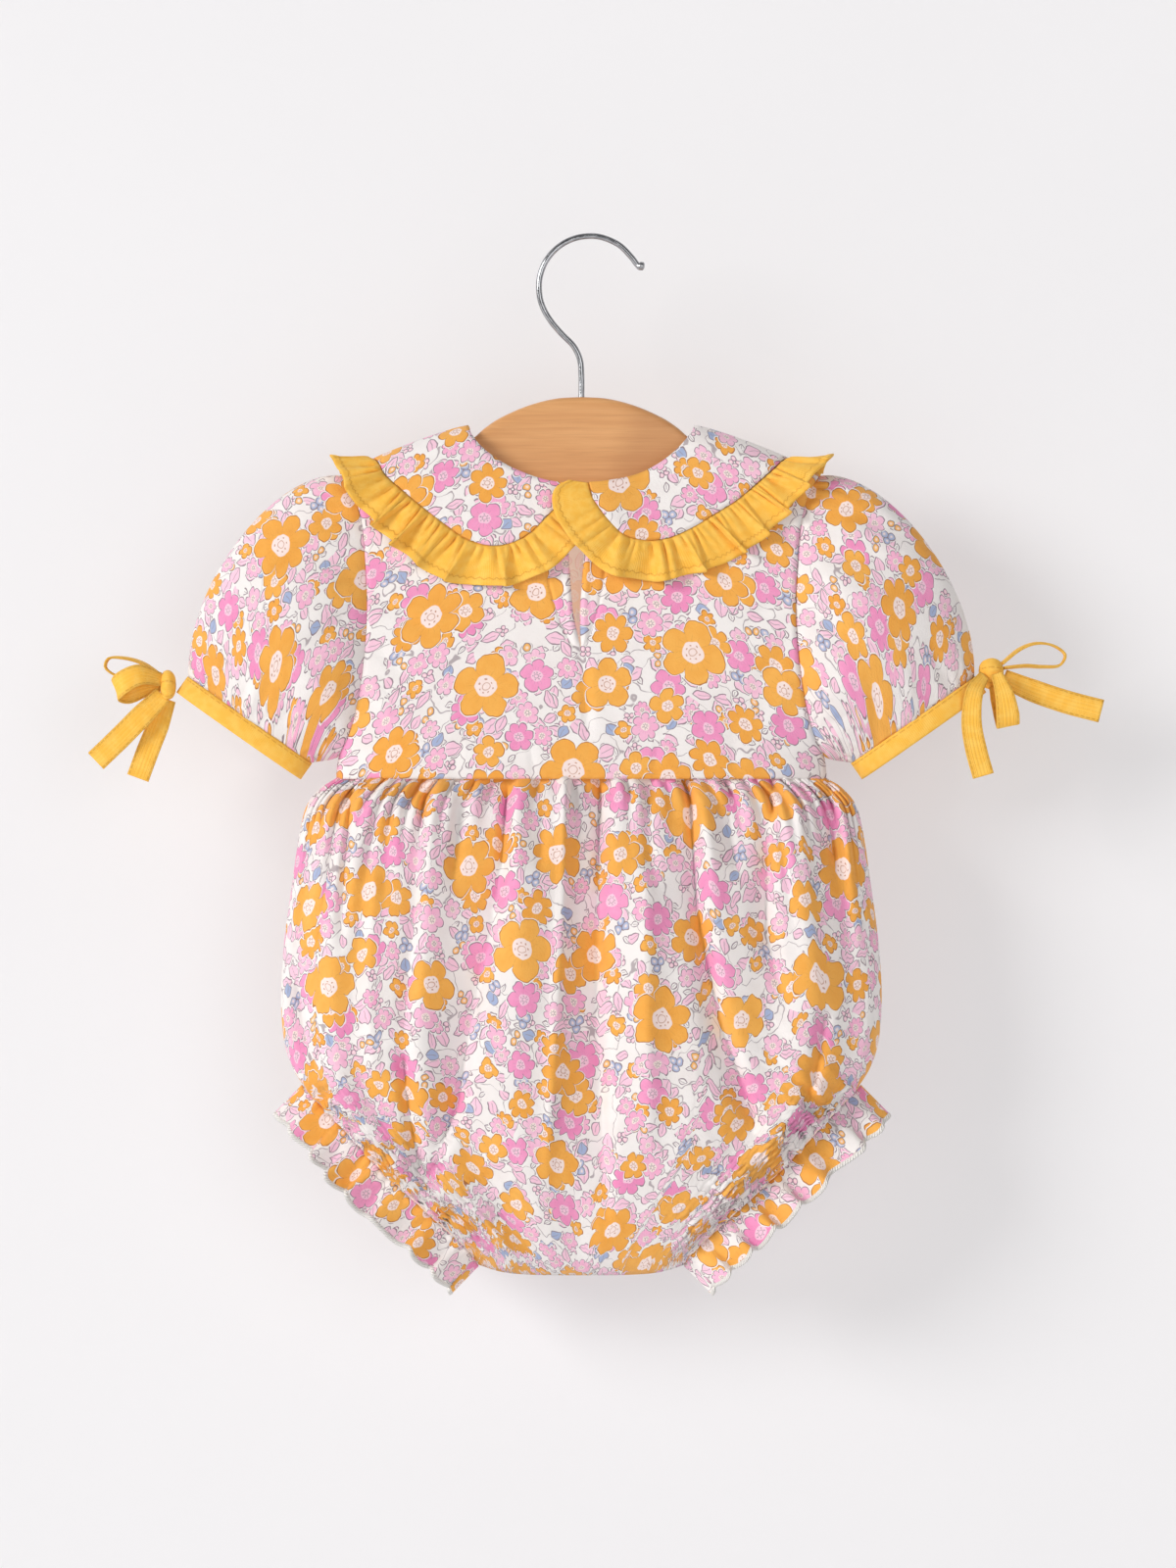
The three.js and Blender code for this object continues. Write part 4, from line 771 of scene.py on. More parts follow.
def armhole(t, side):
    """A point of the armhole seam: t runs from the shoulder to the underarm."""
    z = lerp(BODICE_SIDE["z"][0], UNDERARM_Z, t)
    x = along(BODICE_SIDE, "z", "x", z)
    return on_bodice(x, np.where(t == 0, 0, down_to(x, z)), side)


def by_place(places, t, side):
    """A weighted sum of what the sleeve does at its top, middle and foot."""
    w = np.stack([(1 - t) ** 2, 2 * t * (1 - t), t**2], axis=-1)
    way = w @ places
    way[..., 1] *= side
    return way


def cuff_point(t, side):
    """A point of the cuff's line, an ellipse on edge round the wrist."""
    middle = lerp(CUFF_TOP, CUFF_FOOT, t[..., None])
    middle[..., 1] = side * CUFF_DEPTH * np.sqrt(np.maximum(1 - (2 * t - 1) ** 2, 0))
    return middle


def round_sleeve(turn):
    """Share down from the shoulder and side, from a turn that runs down the back and up the front."""
    half = np.where(turn <= 0.5, 2 * turn, 2 - 2 * turn)
    return (1 - np.cos(math.pi * half)) / 2, np.where(turn <= 0.5, -1.0, 1.0)


CUFF_FACES = unit(np.array([CUFF_TOP[2] - CUFF_FOOT[2], 0, CUFF_FOOT[0] - CUFF_TOP[0]]))

SLEEVE_CREASES = (
    (112, -128, 150, -138, 4.5, -1.6), (108, -150, 150, -152, 4.5, -1.8), (112, -160, 148, -176, 5, 1.4),
    (106, -176, 136, -198, 4.5, -1.5), (112, -214, 132, -206, 4, 1.2), (116, -128, 168, -160, 6, 1.2),
    (140, -236, 134, -206, 3.5, -1.1), (156, -226, 148, -196, 3.6, 1.1), (172, -212, 160, -184, 3.6, -1.2),
    (112, -230, 128, -222, 3, -1),
)


def sleeve(hand, name, finish, inside):
    """A sleeve: cubic curves from the armhole to the cuff, puffed by how they leave and arrive, with
    uneven gathers under the head and above the hem and listed creases."""
    turn = np.arange(176)[None, :] / 176
    s = np.linspace(0, 1, 66)[:, None] ** 1.1
    t, side = round_sleeve(turn)
    above, below = armhole(np.maximum(t - 0.02, 0), side), armhole(np.minimum(t + 0.02, 1), side)
    away = unit(place(above[..., 2] - below[..., 2], 0, below[..., 0] - above[..., 0]))
    start = armhole(t, side) + away * (SEAM_GAP + CLOTH / 2)
    stop = cuff_point(t, side)
    leave, arrive = start + by_place(SLEEVE_LEAVES, t, side), stop + by_place(SLEEVE_ARRIVES, t, side)
    s3 = s[..., None]
    p = (start * (1 - s3) ** 3 + leave * 3 * s3 * (1 - s3) ** 2
         + arrive * 3 * s3**2 * (1 - s3) + stop * s3**3)
    t, side, turn = (np.broadcast_to(a, p.shape[:2]) for a in (t, side, turn))
    length = np.linalg.norm(np.diff(p, axis=0), axis=-1).sum(axis=0)[None, :]
    from_head, from_hem = s * length, (1 - s) * length
    around = turn * 2 - 1
    head = gathers(around, from_head, HEAD_GATHERS, 71 + hand) * (1 - smooth(t, 0.45, 0.85))
    hem = gathers(around, from_hem, HEM_GATHERS, 91 + hand) * smooth(np.sqrt(t * (1 - t)), 0.05, 0.3)
    height = head * smooth(from_head, -1, 4) + hem * smooth(from_hem, -1, 4)
    height += folds(SLEEVE_CREASES, p[..., 0], p[..., 2]) * smooth(np.abs(p[..., 1]), 1, 8)
    normal = outward(p, 1, closed=True)
    normal *= np.sign((normal[..., 1] * side).mean())
    tuck = np.exp(-((from_head / 1.8) ** 2)) * smooth(np.abs(p[..., 1]), 0.5, 5)
    p = p + normal * (height - 1.2 * tuck)[..., None] - away * (1.6 * tuck)[..., None]
    closed_row = np.concatenate([p, p[:, :1]], axis=1)
    run = np.concatenate([np.zeros((len(p), 1)),
                          np.cumsum(np.linalg.norm(np.diff(closed_row, axis=1), axis=-1), axis=1)], axis=1)
    quarter = run[:, 44][:, None]
    uv = np.stack(np.broadcast_arrays(hand * (run - quarter) * 1.04 + 400 * hand,
                                      -arc_down(closed_row)), axis=-1)
    p[..., 0] *= hand
    cloth(f"sleeve_{name}_cloth", p, uv, finish,
          closed=True, inside=inside)


def cuff(hand, name, finish):
    """The band round a sleeve's hem: a ring whose section swells a little between its two edges."""
    turn = np.arange(120)[None, :] / 120
    out = np.linspace(0, 1, 9)[:, None]
    t, side = round_sleeve(turn)
    base = cuff_point(np.broadcast_to(t, (9, 120)), side)
    swell = 0.45 * np.sin(math.pi * out) - 0.2
    p = base + CUFF_FACES * (SEAM_GAP + out * BINDING)[..., None]
    p[..., 1] += side * swell
    p[..., 0] *= hand
    around = np.append(turn, 1)[None, :] * 150
    uv = np.stack(np.broadcast_arrays(around, -out * BINDING), axis=-1)
    cloth(f"cuff_{name}_cloth", p, uv, finish,
          thick=1.7, closed=True)


# Collar.


def collar_flat(hand):
    """Rows of one collar in the cloth's own plane, x and length down with the back positive: from the
    centre back over the shoulder to the centre front, the neck ends and the frill ends."""
    back = COLLAR_BACK_LEFT if hand < 0 else COLLAR_BACK_RIGHT
    neck, edge = [], []
    for rows, sign in ((back, 1), (COLLAR_FRONT, -1)):
        for ends, key in ((neck, "neck"), (edge, "edge")):
            x = rows[key + "_x"]
            flat = np.stack([x, sign * down_to(x, rows[key + "_z"], COLLAR_LIFT)], axis=-1)
            ends.append(flat if sign > 0 else flat[::-1])
    joined = []
    for ends, x in ((neck, COLLAR_SHOULDER[0]), (edge, COLLAR_SHOULDER[1])):
        top = np.array([[x, 0.0]])
        thirds = [lerp(ends[0][-1:], top, 1 / 3), lerp(ends[0][-1:], top, 2 / 3), top,
                  lerp(top, ends[1][:1], 1 / 3), lerp(top, ends[1][:1], 2 / 3)]
        joined.append(np.vstack([ends[0], *thirds, ends[1]]))
    return joined


def rolled(x, down, lift, hand, wave=0.0):
    """A place of the collar's own plane laid over the shoulder. The right collar rides over the left
    one at the centre back. What a wave or the overlap adds to the lift doesn't raise the place."""
    over = np.where((hand > 0) & (down > 0), OVERLAP_LIFT * (1 - smooth(x, 4, OVERLAP_REACH)), 0)
    length = np.abs(down)
    kept = length + (over + wave) * np.minimum(length / (ARCH + lift), math.pi / 2)
    p = on_bodice(x, kept, np.where(down >= 0, -1, 1), lift + over + wave)
    p[..., 0] *= hand
    return p


def collar(hand, name, finish):
    """A collar's lobes: lines from the neck edge to the frill edge, which dips to its seam."""
    neck, edge = collar_flat(hand)
    neck, edge = (evenly(smooth_path(line)[0], np.linspace(0, 1, 150)) for line in (neck, edge))
    share = np.linspace(0, 1, 18)[:, None, None]
    flat = lerp(neck[None], edge[None], share)
    wave = 0.5 * np.sin(math.pi * share[..., 0]) - 0.3 * share[..., 0] ** 8
    p = rolled(flat[..., 0], flat[..., 1], COLLAR_LIFT, hand, wave)
    uv = np.stack([hand * flat[..., 0] + 150, -flat[..., 1] + 40 * hand], axis=-1)
    cloth(f"collar_{name}_cloth", p, uv, finish)


def collar_frill(hand, name, finish):
    """The frill round a collar's edge: pleats that start deep and narrow at its seam and open out to
    long easy waves at its edge, each with its own depth, and a hem turned under."""
    neck, edge = collar_flat(hand)
    seam, _where = smooth_path(np.vstack([neck[:1], edge, neck[-1:]]))
    columns, rows = 560, 17
    t = np.linspace(0, 1, columns + 1)
    p = evenly(seam, t)
    tangent = unit(np.gradient(p, axis=0))
    full = np.where(p[:, 1] < 0, np.minimum(FRILL_WIDTH, p[:, 0] - 1), FRILL_WIDTH)
    width = full * lerp(0.45, 1, np.sqrt(1 - (1 - np.minimum(t / FRILL_ROUND, 1)) ** 2))
    out = np.linspace(-0.04, 1, rows)[:, None]
    aside = np.stack([-tangent[:, 1], tangent[:, 0]], axis=-1)
    q = p[None] + aside[None] * (SEAM_GAP + CLOTH / 2 + out * width)[..., None]
    shoulder = np.exp(-((p[:, 1] / 26) ** 2))
    calm = smooth(t, 0.02, 0.16) * (1 - smooth(t, 0.86, 0.99))
    draw = np.random.default_rng(11 + hand)
    count = FRILL_WAVES * 2
    slip = np.interp(t, np.linspace(0, 1, count), draw.uniform(-0.9, 0.9, count))
    ease = np.interp(t, np.linspace(0, 1, count), draw.uniform(0.4, 1.6, count))
    turn = 2 * math.pi * FRILL_WAVES * t + 1.6 * slip
    waves = FRILL_SWING * calm * ease * np.sin(turn + 0.5 * np.sin(turn))
    q += tangent[None] * (2.4 * out * calm * ease * np.cos(turn))[..., None]
    q += aside[None] * (0.5 * out * calm * ease * np.sin(turn + 1))[..., None]
    pleats = gathers(2 * t[None, :] - 1, out * 19, FRILL_PLEATS, 23 + hand) * smooth(out, -0.02, 0.12)
    hem = 0.35 * smooth(out, 0.84, 0.87)
    tucked = 0.9 * np.exp(-(((out + 0.04) / 0.05) ** 2))
    wave = out * waves * (1.15 - 0.8 * shoulder) + pleats * (0.35 + 0.65 * calm) + hem - tucked
    shape = rolled(q[..., 0], q[..., 1], COLLAR_LIFT + out * (0.8 + 8 * shoulder), hand, wave)
    length = np.linalg.norm(np.diff(p, axis=0), axis=1).sum()
    uv = np.stack(np.broadcast_arrays(t[None, :] * length * 1.5, -out * FRILL_WIDTH), axis=-1)
    cloth(f"collar_frill_{name}_cloth", shape, uv, finish,
          thick=0.9)


# Ties and knots.


def seated(rows, knot):
    """The ties' points, whose ends at the knot are moved to just off its surface."""
    p = place(rows["x"], rows["y"], rows["z"])
    middle, half = knot
    way = p - middle
    reach = np.linalg.norm(way, axis=1) / np.linalg.norm(way / half, axis=1) + rows["seat"] - 0.8
    moved = middle + unit(way) * reach[:, None]
    return np.where(rows["seat"][:, None] > 0, moved, p)


def tie(name, rows, knot, finish, hem):
    """A flat tie carried along its path: at each step a flattened ring, as wide as the table says,
    turned by its lay and tip, a little thicker along its two sewn edges."""
    curve, where = smooth_path(seated(rows, knot), per_span=14)
    at = {key: np.interp(where, np.arange(len(rows["x"])), rows[key]) for key in ("lay", "tip", "wide")}
    lay, tip = np.radians(at["lay"]), np.radians(at["tip"])
    across = place(np.cos(lay) * np.cos(tip), np.sin(tip), np.sin(lay) * np.cos(tip))
    tangent = unit(np.gradient(curve, axis=0))
    across = unit(across - tangent * (across * tangent).sum(axis=-1, keepdims=True))
    normal = np.cross(tangent, across)
    phi = np.arange(28) / 28 * 2 * math.pi
    a = np.sign(np.cos(phi)) * np.abs(np.cos(phi)) ** 0.55
    n = np.sign(np.sin(phi)) * np.abs(np.sin(phi)) ** 0.6 * (0.72 + 0.28 * np.abs(a) ** 3)
    run = np.append(0, np.cumsum(np.linalg.norm(np.diff(curve, axis=0), axis=1)))
    thick = np.full(len(curve), TIE_WALL * 0.8)
    if hem:
        thick = thick + 0.35 * smooth(run, run[-1] - 11, run[-1] - 10)
    rings = (curve[:, None] + across[:, None] * (a[None, :] * at["wide"][:, None] / 2)[..., None]
             + normal[:, None] * (n[None, :] * thick[:, None] / 2)[..., None])
    girth = np.arange(29) / 28 * 24
    uv = np.stack(np.broadcast_arrays(girth[None, :], -run[:, None]), axis=-1)
    corners = np.vstack([corner_uv(uv), np.zeros((56, 2))])
    piece = tube(name + "_cloth", rings, corners)
    dress(piece, finish, (name,))


def knot(name, middle_half, finish, seed, length):
    """A knot: an oval wrapped by the tie, with soft ridges that run across it and pinch in at its
    ends."""
    middle, half = middle_half
    lat = np.linspace(0, math.pi, 33)[:, None]
    lon = np.arange(56)[None, :] / 56 * 2 * math.pi
    draw = np.random.default_rng(seed)
    ridge = 0.07 * np.cos(3 * lon + draw.uniform(0, 6)) + 0.05 * np.cos(7 * lon + 1.4 * np.cos(lat) + seed)
    r = 1 + ridge * np.sin(lat) ** 2 - 0.1 * np.cos(lat) ** 8
    p = place(np.cos(lat) * r, np.sin(lat) * np.cos(lon) * r, np.sin(lat) * np.sin(lon) * r)
    p = middle + p * half * 0.98
    points = np.vstack([p[0, :1], p[1:-1].reshape(-1, 3), p[-1, :1]])
    rows, cols = 31, 56
    body = grid_faces(rows, cols, closed=True) + 1
    ring = np.arange(cols)
    first = np.stack([np.zeros(cols, int), 1 + ring, 1 + (ring + 1) % cols], -1)
    start = 1 + (rows - 1) * cols
    last = np.stack([np.full(cols, len(points) - 1), start + (ring + 1) % cols, start + ring], -1)
    uv_body = np.stack(np.broadcast_arrays(np.arange(57)[None, :] * 0.6, -np.arange(31)[:, None] * 0.45), -1)
    uv = np.vstack([corner_uv(uv_body), np.zeros((6 * cols, 2))])
    piece = make_mesh(name + "_cloth", points, body.tolist() + first.tolist() + last.tolist(), uv)
    dress(piece, finish, (name,))
    "cuff_" + name.split("_")[-1]


# The hanger.


def hanger_wood(finish):
    """The wood: at each x a rounded section from its upper to its lower edge, thinner at the tips."""
    half = np.unique(np.concatenate([np.linspace(0, 118, 90), np.linspace(118, 121.5, 12)]))
    x = np.concatenate([-half[::-1], half[1:]])
    top, bottom = (along(WOOD, "x", key, np.abs(x)) for key in ("top", "bottom"))
    tall = (top - bottom) / 2
    deep = WOOD_THICK / 2 * np.sqrt(np.minimum(1, tall / 11))
    phi = np.arange(48) / 48 * 2 * math.pi
    c, s = np.cos(phi), np.sin(phi)
    round_y, round_z = np.sign(s) * np.abs(s) ** 0.5, np.sign(c) * np.abs(c) ** 0.28
    p = place(x[:, None], deep[:, None] * round_y[None, :],
              ((top + bottom) / 2)[:, None] + tall[:, None] * round_z[None, :])
    dress(tube("hanger_wood_plate", p), finish, ("hanger_wood",))


def hanger_hook(finish):
    """The hook: a round section carried along the wire's path, with a small ball at its tip."""
    curve, where = smooth_path(place(HOOK_WIRE["x"], 0, HOOK_WIRE["z"]), per_span=9)
    r = np.interp(where, np.arange(len(HOOK_WIRE["r"])), HOOK_WIRE["r"])
    r[: 3] *= (0.45, 0.75, 0.92)
    tangent = unit(np.gradient(curve, axis=0))
    aside = np.stack([-tangent[:, 2], np.zeros(len(curve)), tangent[:, 0]], axis=-1)
    turn = np.arange(20) / 20 * 2 * math.pi
    rings = (curve[:, None] + aside[:, None] * (r[:, None] * np.cos(turn))[..., None]
             + np.array([0, 1, 0]) * (r[:, None] * np.sin(turn))[..., None])
    dress(tube("hanger_hook_wire", rings), finish, ("hanger_hook",))


# Finishes.


def tint(r, g, b):
    """A linear colour from the picture's 0 to 255 values."""
    linear = [c / 3294.6 if c <= 10.31 else ((c / 255 + 0.055) / 1.055) ** 2.4 for c in (r, g, b)]
    return (*linear, 1.0)


class Number:
    """A number that varies over a surface. Sums and products of these add their Math nodes."""

    def __init__(self, finish, socket):
        self.finish, self.socket = finish, socket

    def __add__(self, other):
        return self.finish.maths("ADD", self, other)

    def __sub__(self, other):
        return self.finish.maths("SUBTRACT", self, other)

    def __rsub__(self, other):
        return self.finish.maths("SUBTRACT", other, self)

    def __mul__(self, other):
        return self.finish.maths("MULTIPLY", self, other)

    def __truediv__(self, other):
        return self.finish.maths("DIVIDE", self, other)

    def __gt__(self, other):
        return self.finish.maths("GREATER_THAN", self, other)

    def __lt__(self, other):
        return self.finish.maths("LESS_THAN", self, other)

    __radd__ = __add__
    __rmul__ = __mul__


class Finish:
    """A material, and the one way in which its nodes are added."""

    def __init__(self, name, **constants):
        self.material = bpy.data.materials.new(name)
        self.material.use_nodes = True
        self.tree = self.material.node_tree
        self.tree.nodes.clear()
        self.shader = self.tree.nodes.new("ShaderNodeBsdfPrincipled")
        self.output = self.tree.nodes.new("ShaderNodeOutputMaterial")
        self.tree.links.new(self.shader.outputs[0], self.output.inputs["Surface"])
        for key, value in constants.items():
            self.shader.inputs[key.replace("_", " ")].default_value = value

    def node(self, kind, inputs=None, output=0, **settings):
        """Adds a node, sets its settings, then gives its sockets their values or links."""
        made = self.tree.nodes.new("ShaderNode" + kind)
        for key, value in settings.items():
            setattr(made, key, value)
        for key, value in (inputs or {}).items():
            self.feed(made.inputs[key], value)
        return Number(self, made.outputs[output])

    def feed(self, socket, value):
        if isinstance(value, Number):
            self.tree.links.new(value.socket, socket)
        else:
            socket.default_value = value

    def maths(self, operation, *values):
        return self.node("Math", dict(enumerate(values)), operation=operation)

    def mix(self, factor, a, b):
        """From one colour to another by a factor."""
        return self.node("Mix", {0: factor, 6: a, 7: b}, output=2, data_type="RGBA")

    def ramp(self, value, low, high, to_low=0.0, to_high=1.0):
        """An S-shaped rise from to_low at low to to_high at high."""
        return self.node("MapRange", {"Value": value, "From Min": low, "From Max": high,
                                      "To Min": to_low, "To Max": to_high},
                         interpolation_type="SMOOTHSTEP")

    def close(self, value, low, high):
        """1 where a number lies within low of 0, falling to 0 at high on either side."""
        return self.ramp(self.maths("ABSOLUTE", value), low, high, 1.0, 0.0)

    def scaled(self, vector, *by):
        return self.node("VectorMath", {0: vector, 1: by}, operation="MULTIPLY")

    def noise(self, vector, scale, detail=2.0, rough=0.5):
        return self.node("TexNoise", {"Vector": vector, "Scale": scale, "Detail": detail,
                                      "Roughness": rough})

    def parts(self, vector):
        made = self.tree.nodes.new("ShaderNodeSeparateXYZ")
        self.feed(made.inputs[0], vector)
        return [Number(self, made.outputs[k]) for k in range(3)]

    def join(self, x, y, z=0.0):
        return self.node("CombineXYZ", {0: x, 1: y, 2: z})

    def uv(self):
        """The cloth's own lengths, in millimetres."""
        return self.scaled(self.node("UVMap", uv_map="cloth"), 1000.0, 1000.0, 1000.0)

    def surface(self):
        """Object coordinates in millimetres."""
        return self.scaled(self.node("TexCoord", output=3), 1000.0, 1000.0, 1000.0)

    def colour(self, value):
        self.feed(self.shader.inputs["Base Color"], value)

    def rough(self, value):
        self.feed(self.shader.inputs["Roughness"], value)

    def bump(self, height, distance, strength=1.0):
        """height from 0 to 1, distance in millimetres."""
        lifted = self.node("Bump", {"Height": height, "Distance": distance * MM, "Strength": strength})
        self.feed(self.shader.inputs["Normal"], lifted)


GROUND = tint(247, 242, 239)
OUTLINE = tint(148, 130, 138)
BROWN = tint(182, 112, 58)
GOLD = tint(250, 184, 88)
GOLD_DEEP = tint(243, 164, 66)
PINK = tint(249, 166, 205)
PINK_DEEP = tint(240, 138, 188)
PALE_PINK = tint(250, 206, 224)
BLUE = tint(170, 184, 216)
CREAM = tint(252, 232, 226)
LINE = 0.42


def lattice(f, x, y, size, turn, shift, wander, seed):
    """Cells of a turned lattice whose odd rows are moved half a cell. Returns the distance and the
    angle from the middle of the cell's motif, which wanders about the cell's own, and three random
    numbers of the cell."""
    c, s = math.cos(turn) / size, math.sin(turn) / size
    gy = y * c - x * s + shift[1]
    row = f.maths("FLOOR", gy)
    gx = x * c + y * s + shift[0] + f.maths("FLOORED_MODULO", row, 2.0) * 0.5
    column = f.maths("FLOOR", gx)
    chance = f.node("TexWhiteNoise", {"Vector": f.join(column, row, seed)}, output=1,
                    noise_dimensions="3D")
    r1, r2, r3 = f.parts(chance)
    lx = (gx - column - 0.5 - (r1 - 0.5) * wander) * size
    ly = (gy - row - 0.5 - (r2 - 0.5) * wander) * size
    far = f.maths("SQRT", lx * lx + ly * ly)
    angle = f.maths("ARCTAN2", ly, lx) + r3 * 6.283
    return far, angle, r1, r2, r3


def lay(f, under, off, fill, line=OUTLINE, halo=0.7):
    """A motif laid on the cloth's colour: a narrow band of bare ground round it, its drawn outline,
    then its fill. off is the distance to its edge, negative inside."""
    clear = f.mix(f.ramp(off, halo - 0.15, halo + 0.15, 1.0, 0.0), under, GROUND)
    drawn = f.mix(f.ramp(off, LINE / 2 - 0.1, LINE / 2 + 0.1, 1.0, 0.0), clear, line)
    return f.mix(f.ramp(off, -LINE / 2 - 0.1, -LINE / 2 + 0.1, 1.0, 0.0), drawn, fill)


def sparse(off, chance, share):
    """Puts the motif out of reach in the cells whose random number is past the share."""
    return off + (chance > share) * 100.0


def fanned(f, angle, count):
    """The angle off the nearest of a number of rays."""
    part = 2 * math.pi / count
    return f.maths("FLOORED_MODULO", angle, part) - part / 2


def blossom(f, under, x, y, cell, radius, petals, tones, line, share, vary=0.3, deep=0.36):
    """Round-petalled flowers on a lattice, each with its own size, turn, tone and number of petals:
    the edge is a circle drawn in between petals, with short lines there, strokes out from a pale
    heart with dots in it, and a wash of darker colour."""
    far, angle, r1, r2, r3 = lattice(f, x, y, *cell)
    fill, shade, heart = tones
    angle = angle + f.maths("SINE", angle + r1 * 6.283) * 0.16
    count = f.maths("FLOOR", r3 * 2.99) + petals
    reach = r2 * (vary * radius) + radius * (1 - vary / 2)
    lobe = f.maths("ABSOLUTE", f.maths("COSINE", angle * count * 0.5))
    edge = reach * (f.maths("POWER", lobe, 0.55) * deep + (1 - deep))
    off = sparse(far - edge, r1, share)
    wash = f.ramp(f.noise(f.join(x, y), 0.16, 3.0), 0.35, 0.7)
    petal = f.mix(wash * 0.35 + r3 * 0.5, fill, shade)
    strokes = f.maths("ABSOLUTE", f.maths("COSINE", angle * count * 1.5))
    stroke = f.ramp(strokes * far, 0.0, 0.5, 1.0, 0.0) * f.ramp(far / reach, 0.6, 0.5)
    petal = f.mix(stroke * 0.7, petal, line)
    between = f.ramp(lobe * far * 0.36, 0.1, 0.4, 1.0, 0.0) * f.ramp(far / reach, 0.55, 0.68)
    petal = f.mix(between * 0.8, petal, line)
    rim = far - reach * 0.33
    petal = f.mix(f.ramp(rim, -0.2, 0.2, 1.0, 0.0), petal, heart)
    petal = f.mix(f.close(far - reach * 0.12, 0.1, 0.3) * 0.6, petal, line)
    dots = f.maths("COSINE", angle * 7.0) * f.close(far - reach * 0.21, 0.15, 0.5)
    petal = f.mix(f.ramp(dots, 0.35, 0.6) * 0.7, petal, line)
    return lay(f, under, off, petal, line)


def berries(f, under, x, y, cell, radius, fill, share, count):
    """Clusters of round berries, each at the same distance from the cluster's middle."""
    far, angle, r1, _r2, _r3 = lattice(f, x, y, *cell)
    fold = fanned(f, angle, count)
    apart = radius * (1.12 if count < 4 else 1.5)
    square = far * far + apart * apart - far * (2 * apart) * f.maths("COSINE", fold)
    off = sparse(f.maths("SQRT", square) - radius, r1, share)
    tone = f.mix(f.ramp(off, -radius, -0.4), CREAM, fill)
    return lay(f, under, off, tone, halo=0.5)


def leaves(f, under, x, y, cell, length, width, fill, share, count):
    """Pairs or sprays of leaves: each leaf is a lens along a ray from the middle, with a vein."""
    far, angle, r1, _r2, _r3 = lattice(f, x, y, *cell)
    fold = fanned(f, angle, count)
    ahead = far * f.maths("COSINE", fold) - length * 0.56
    beside = f.maths("ABSOLUTE", far * f.maths("SINE", fold))
    along_leaf = ahead / (length / 2)
    off = sparse((beside - (1 - along_leaf * along_leaf) * width) * 0.8, r1, share)
    vein = f.ramp(beside, 0.08, 0.3, 1.0, 0.0) * f.ramp(along_leaf, 0.55, 0.35)
    tone = f.mix(vein * 0.6, fill, OUTLINE)
    return lay(f, under, off, tone, halo=0.5)


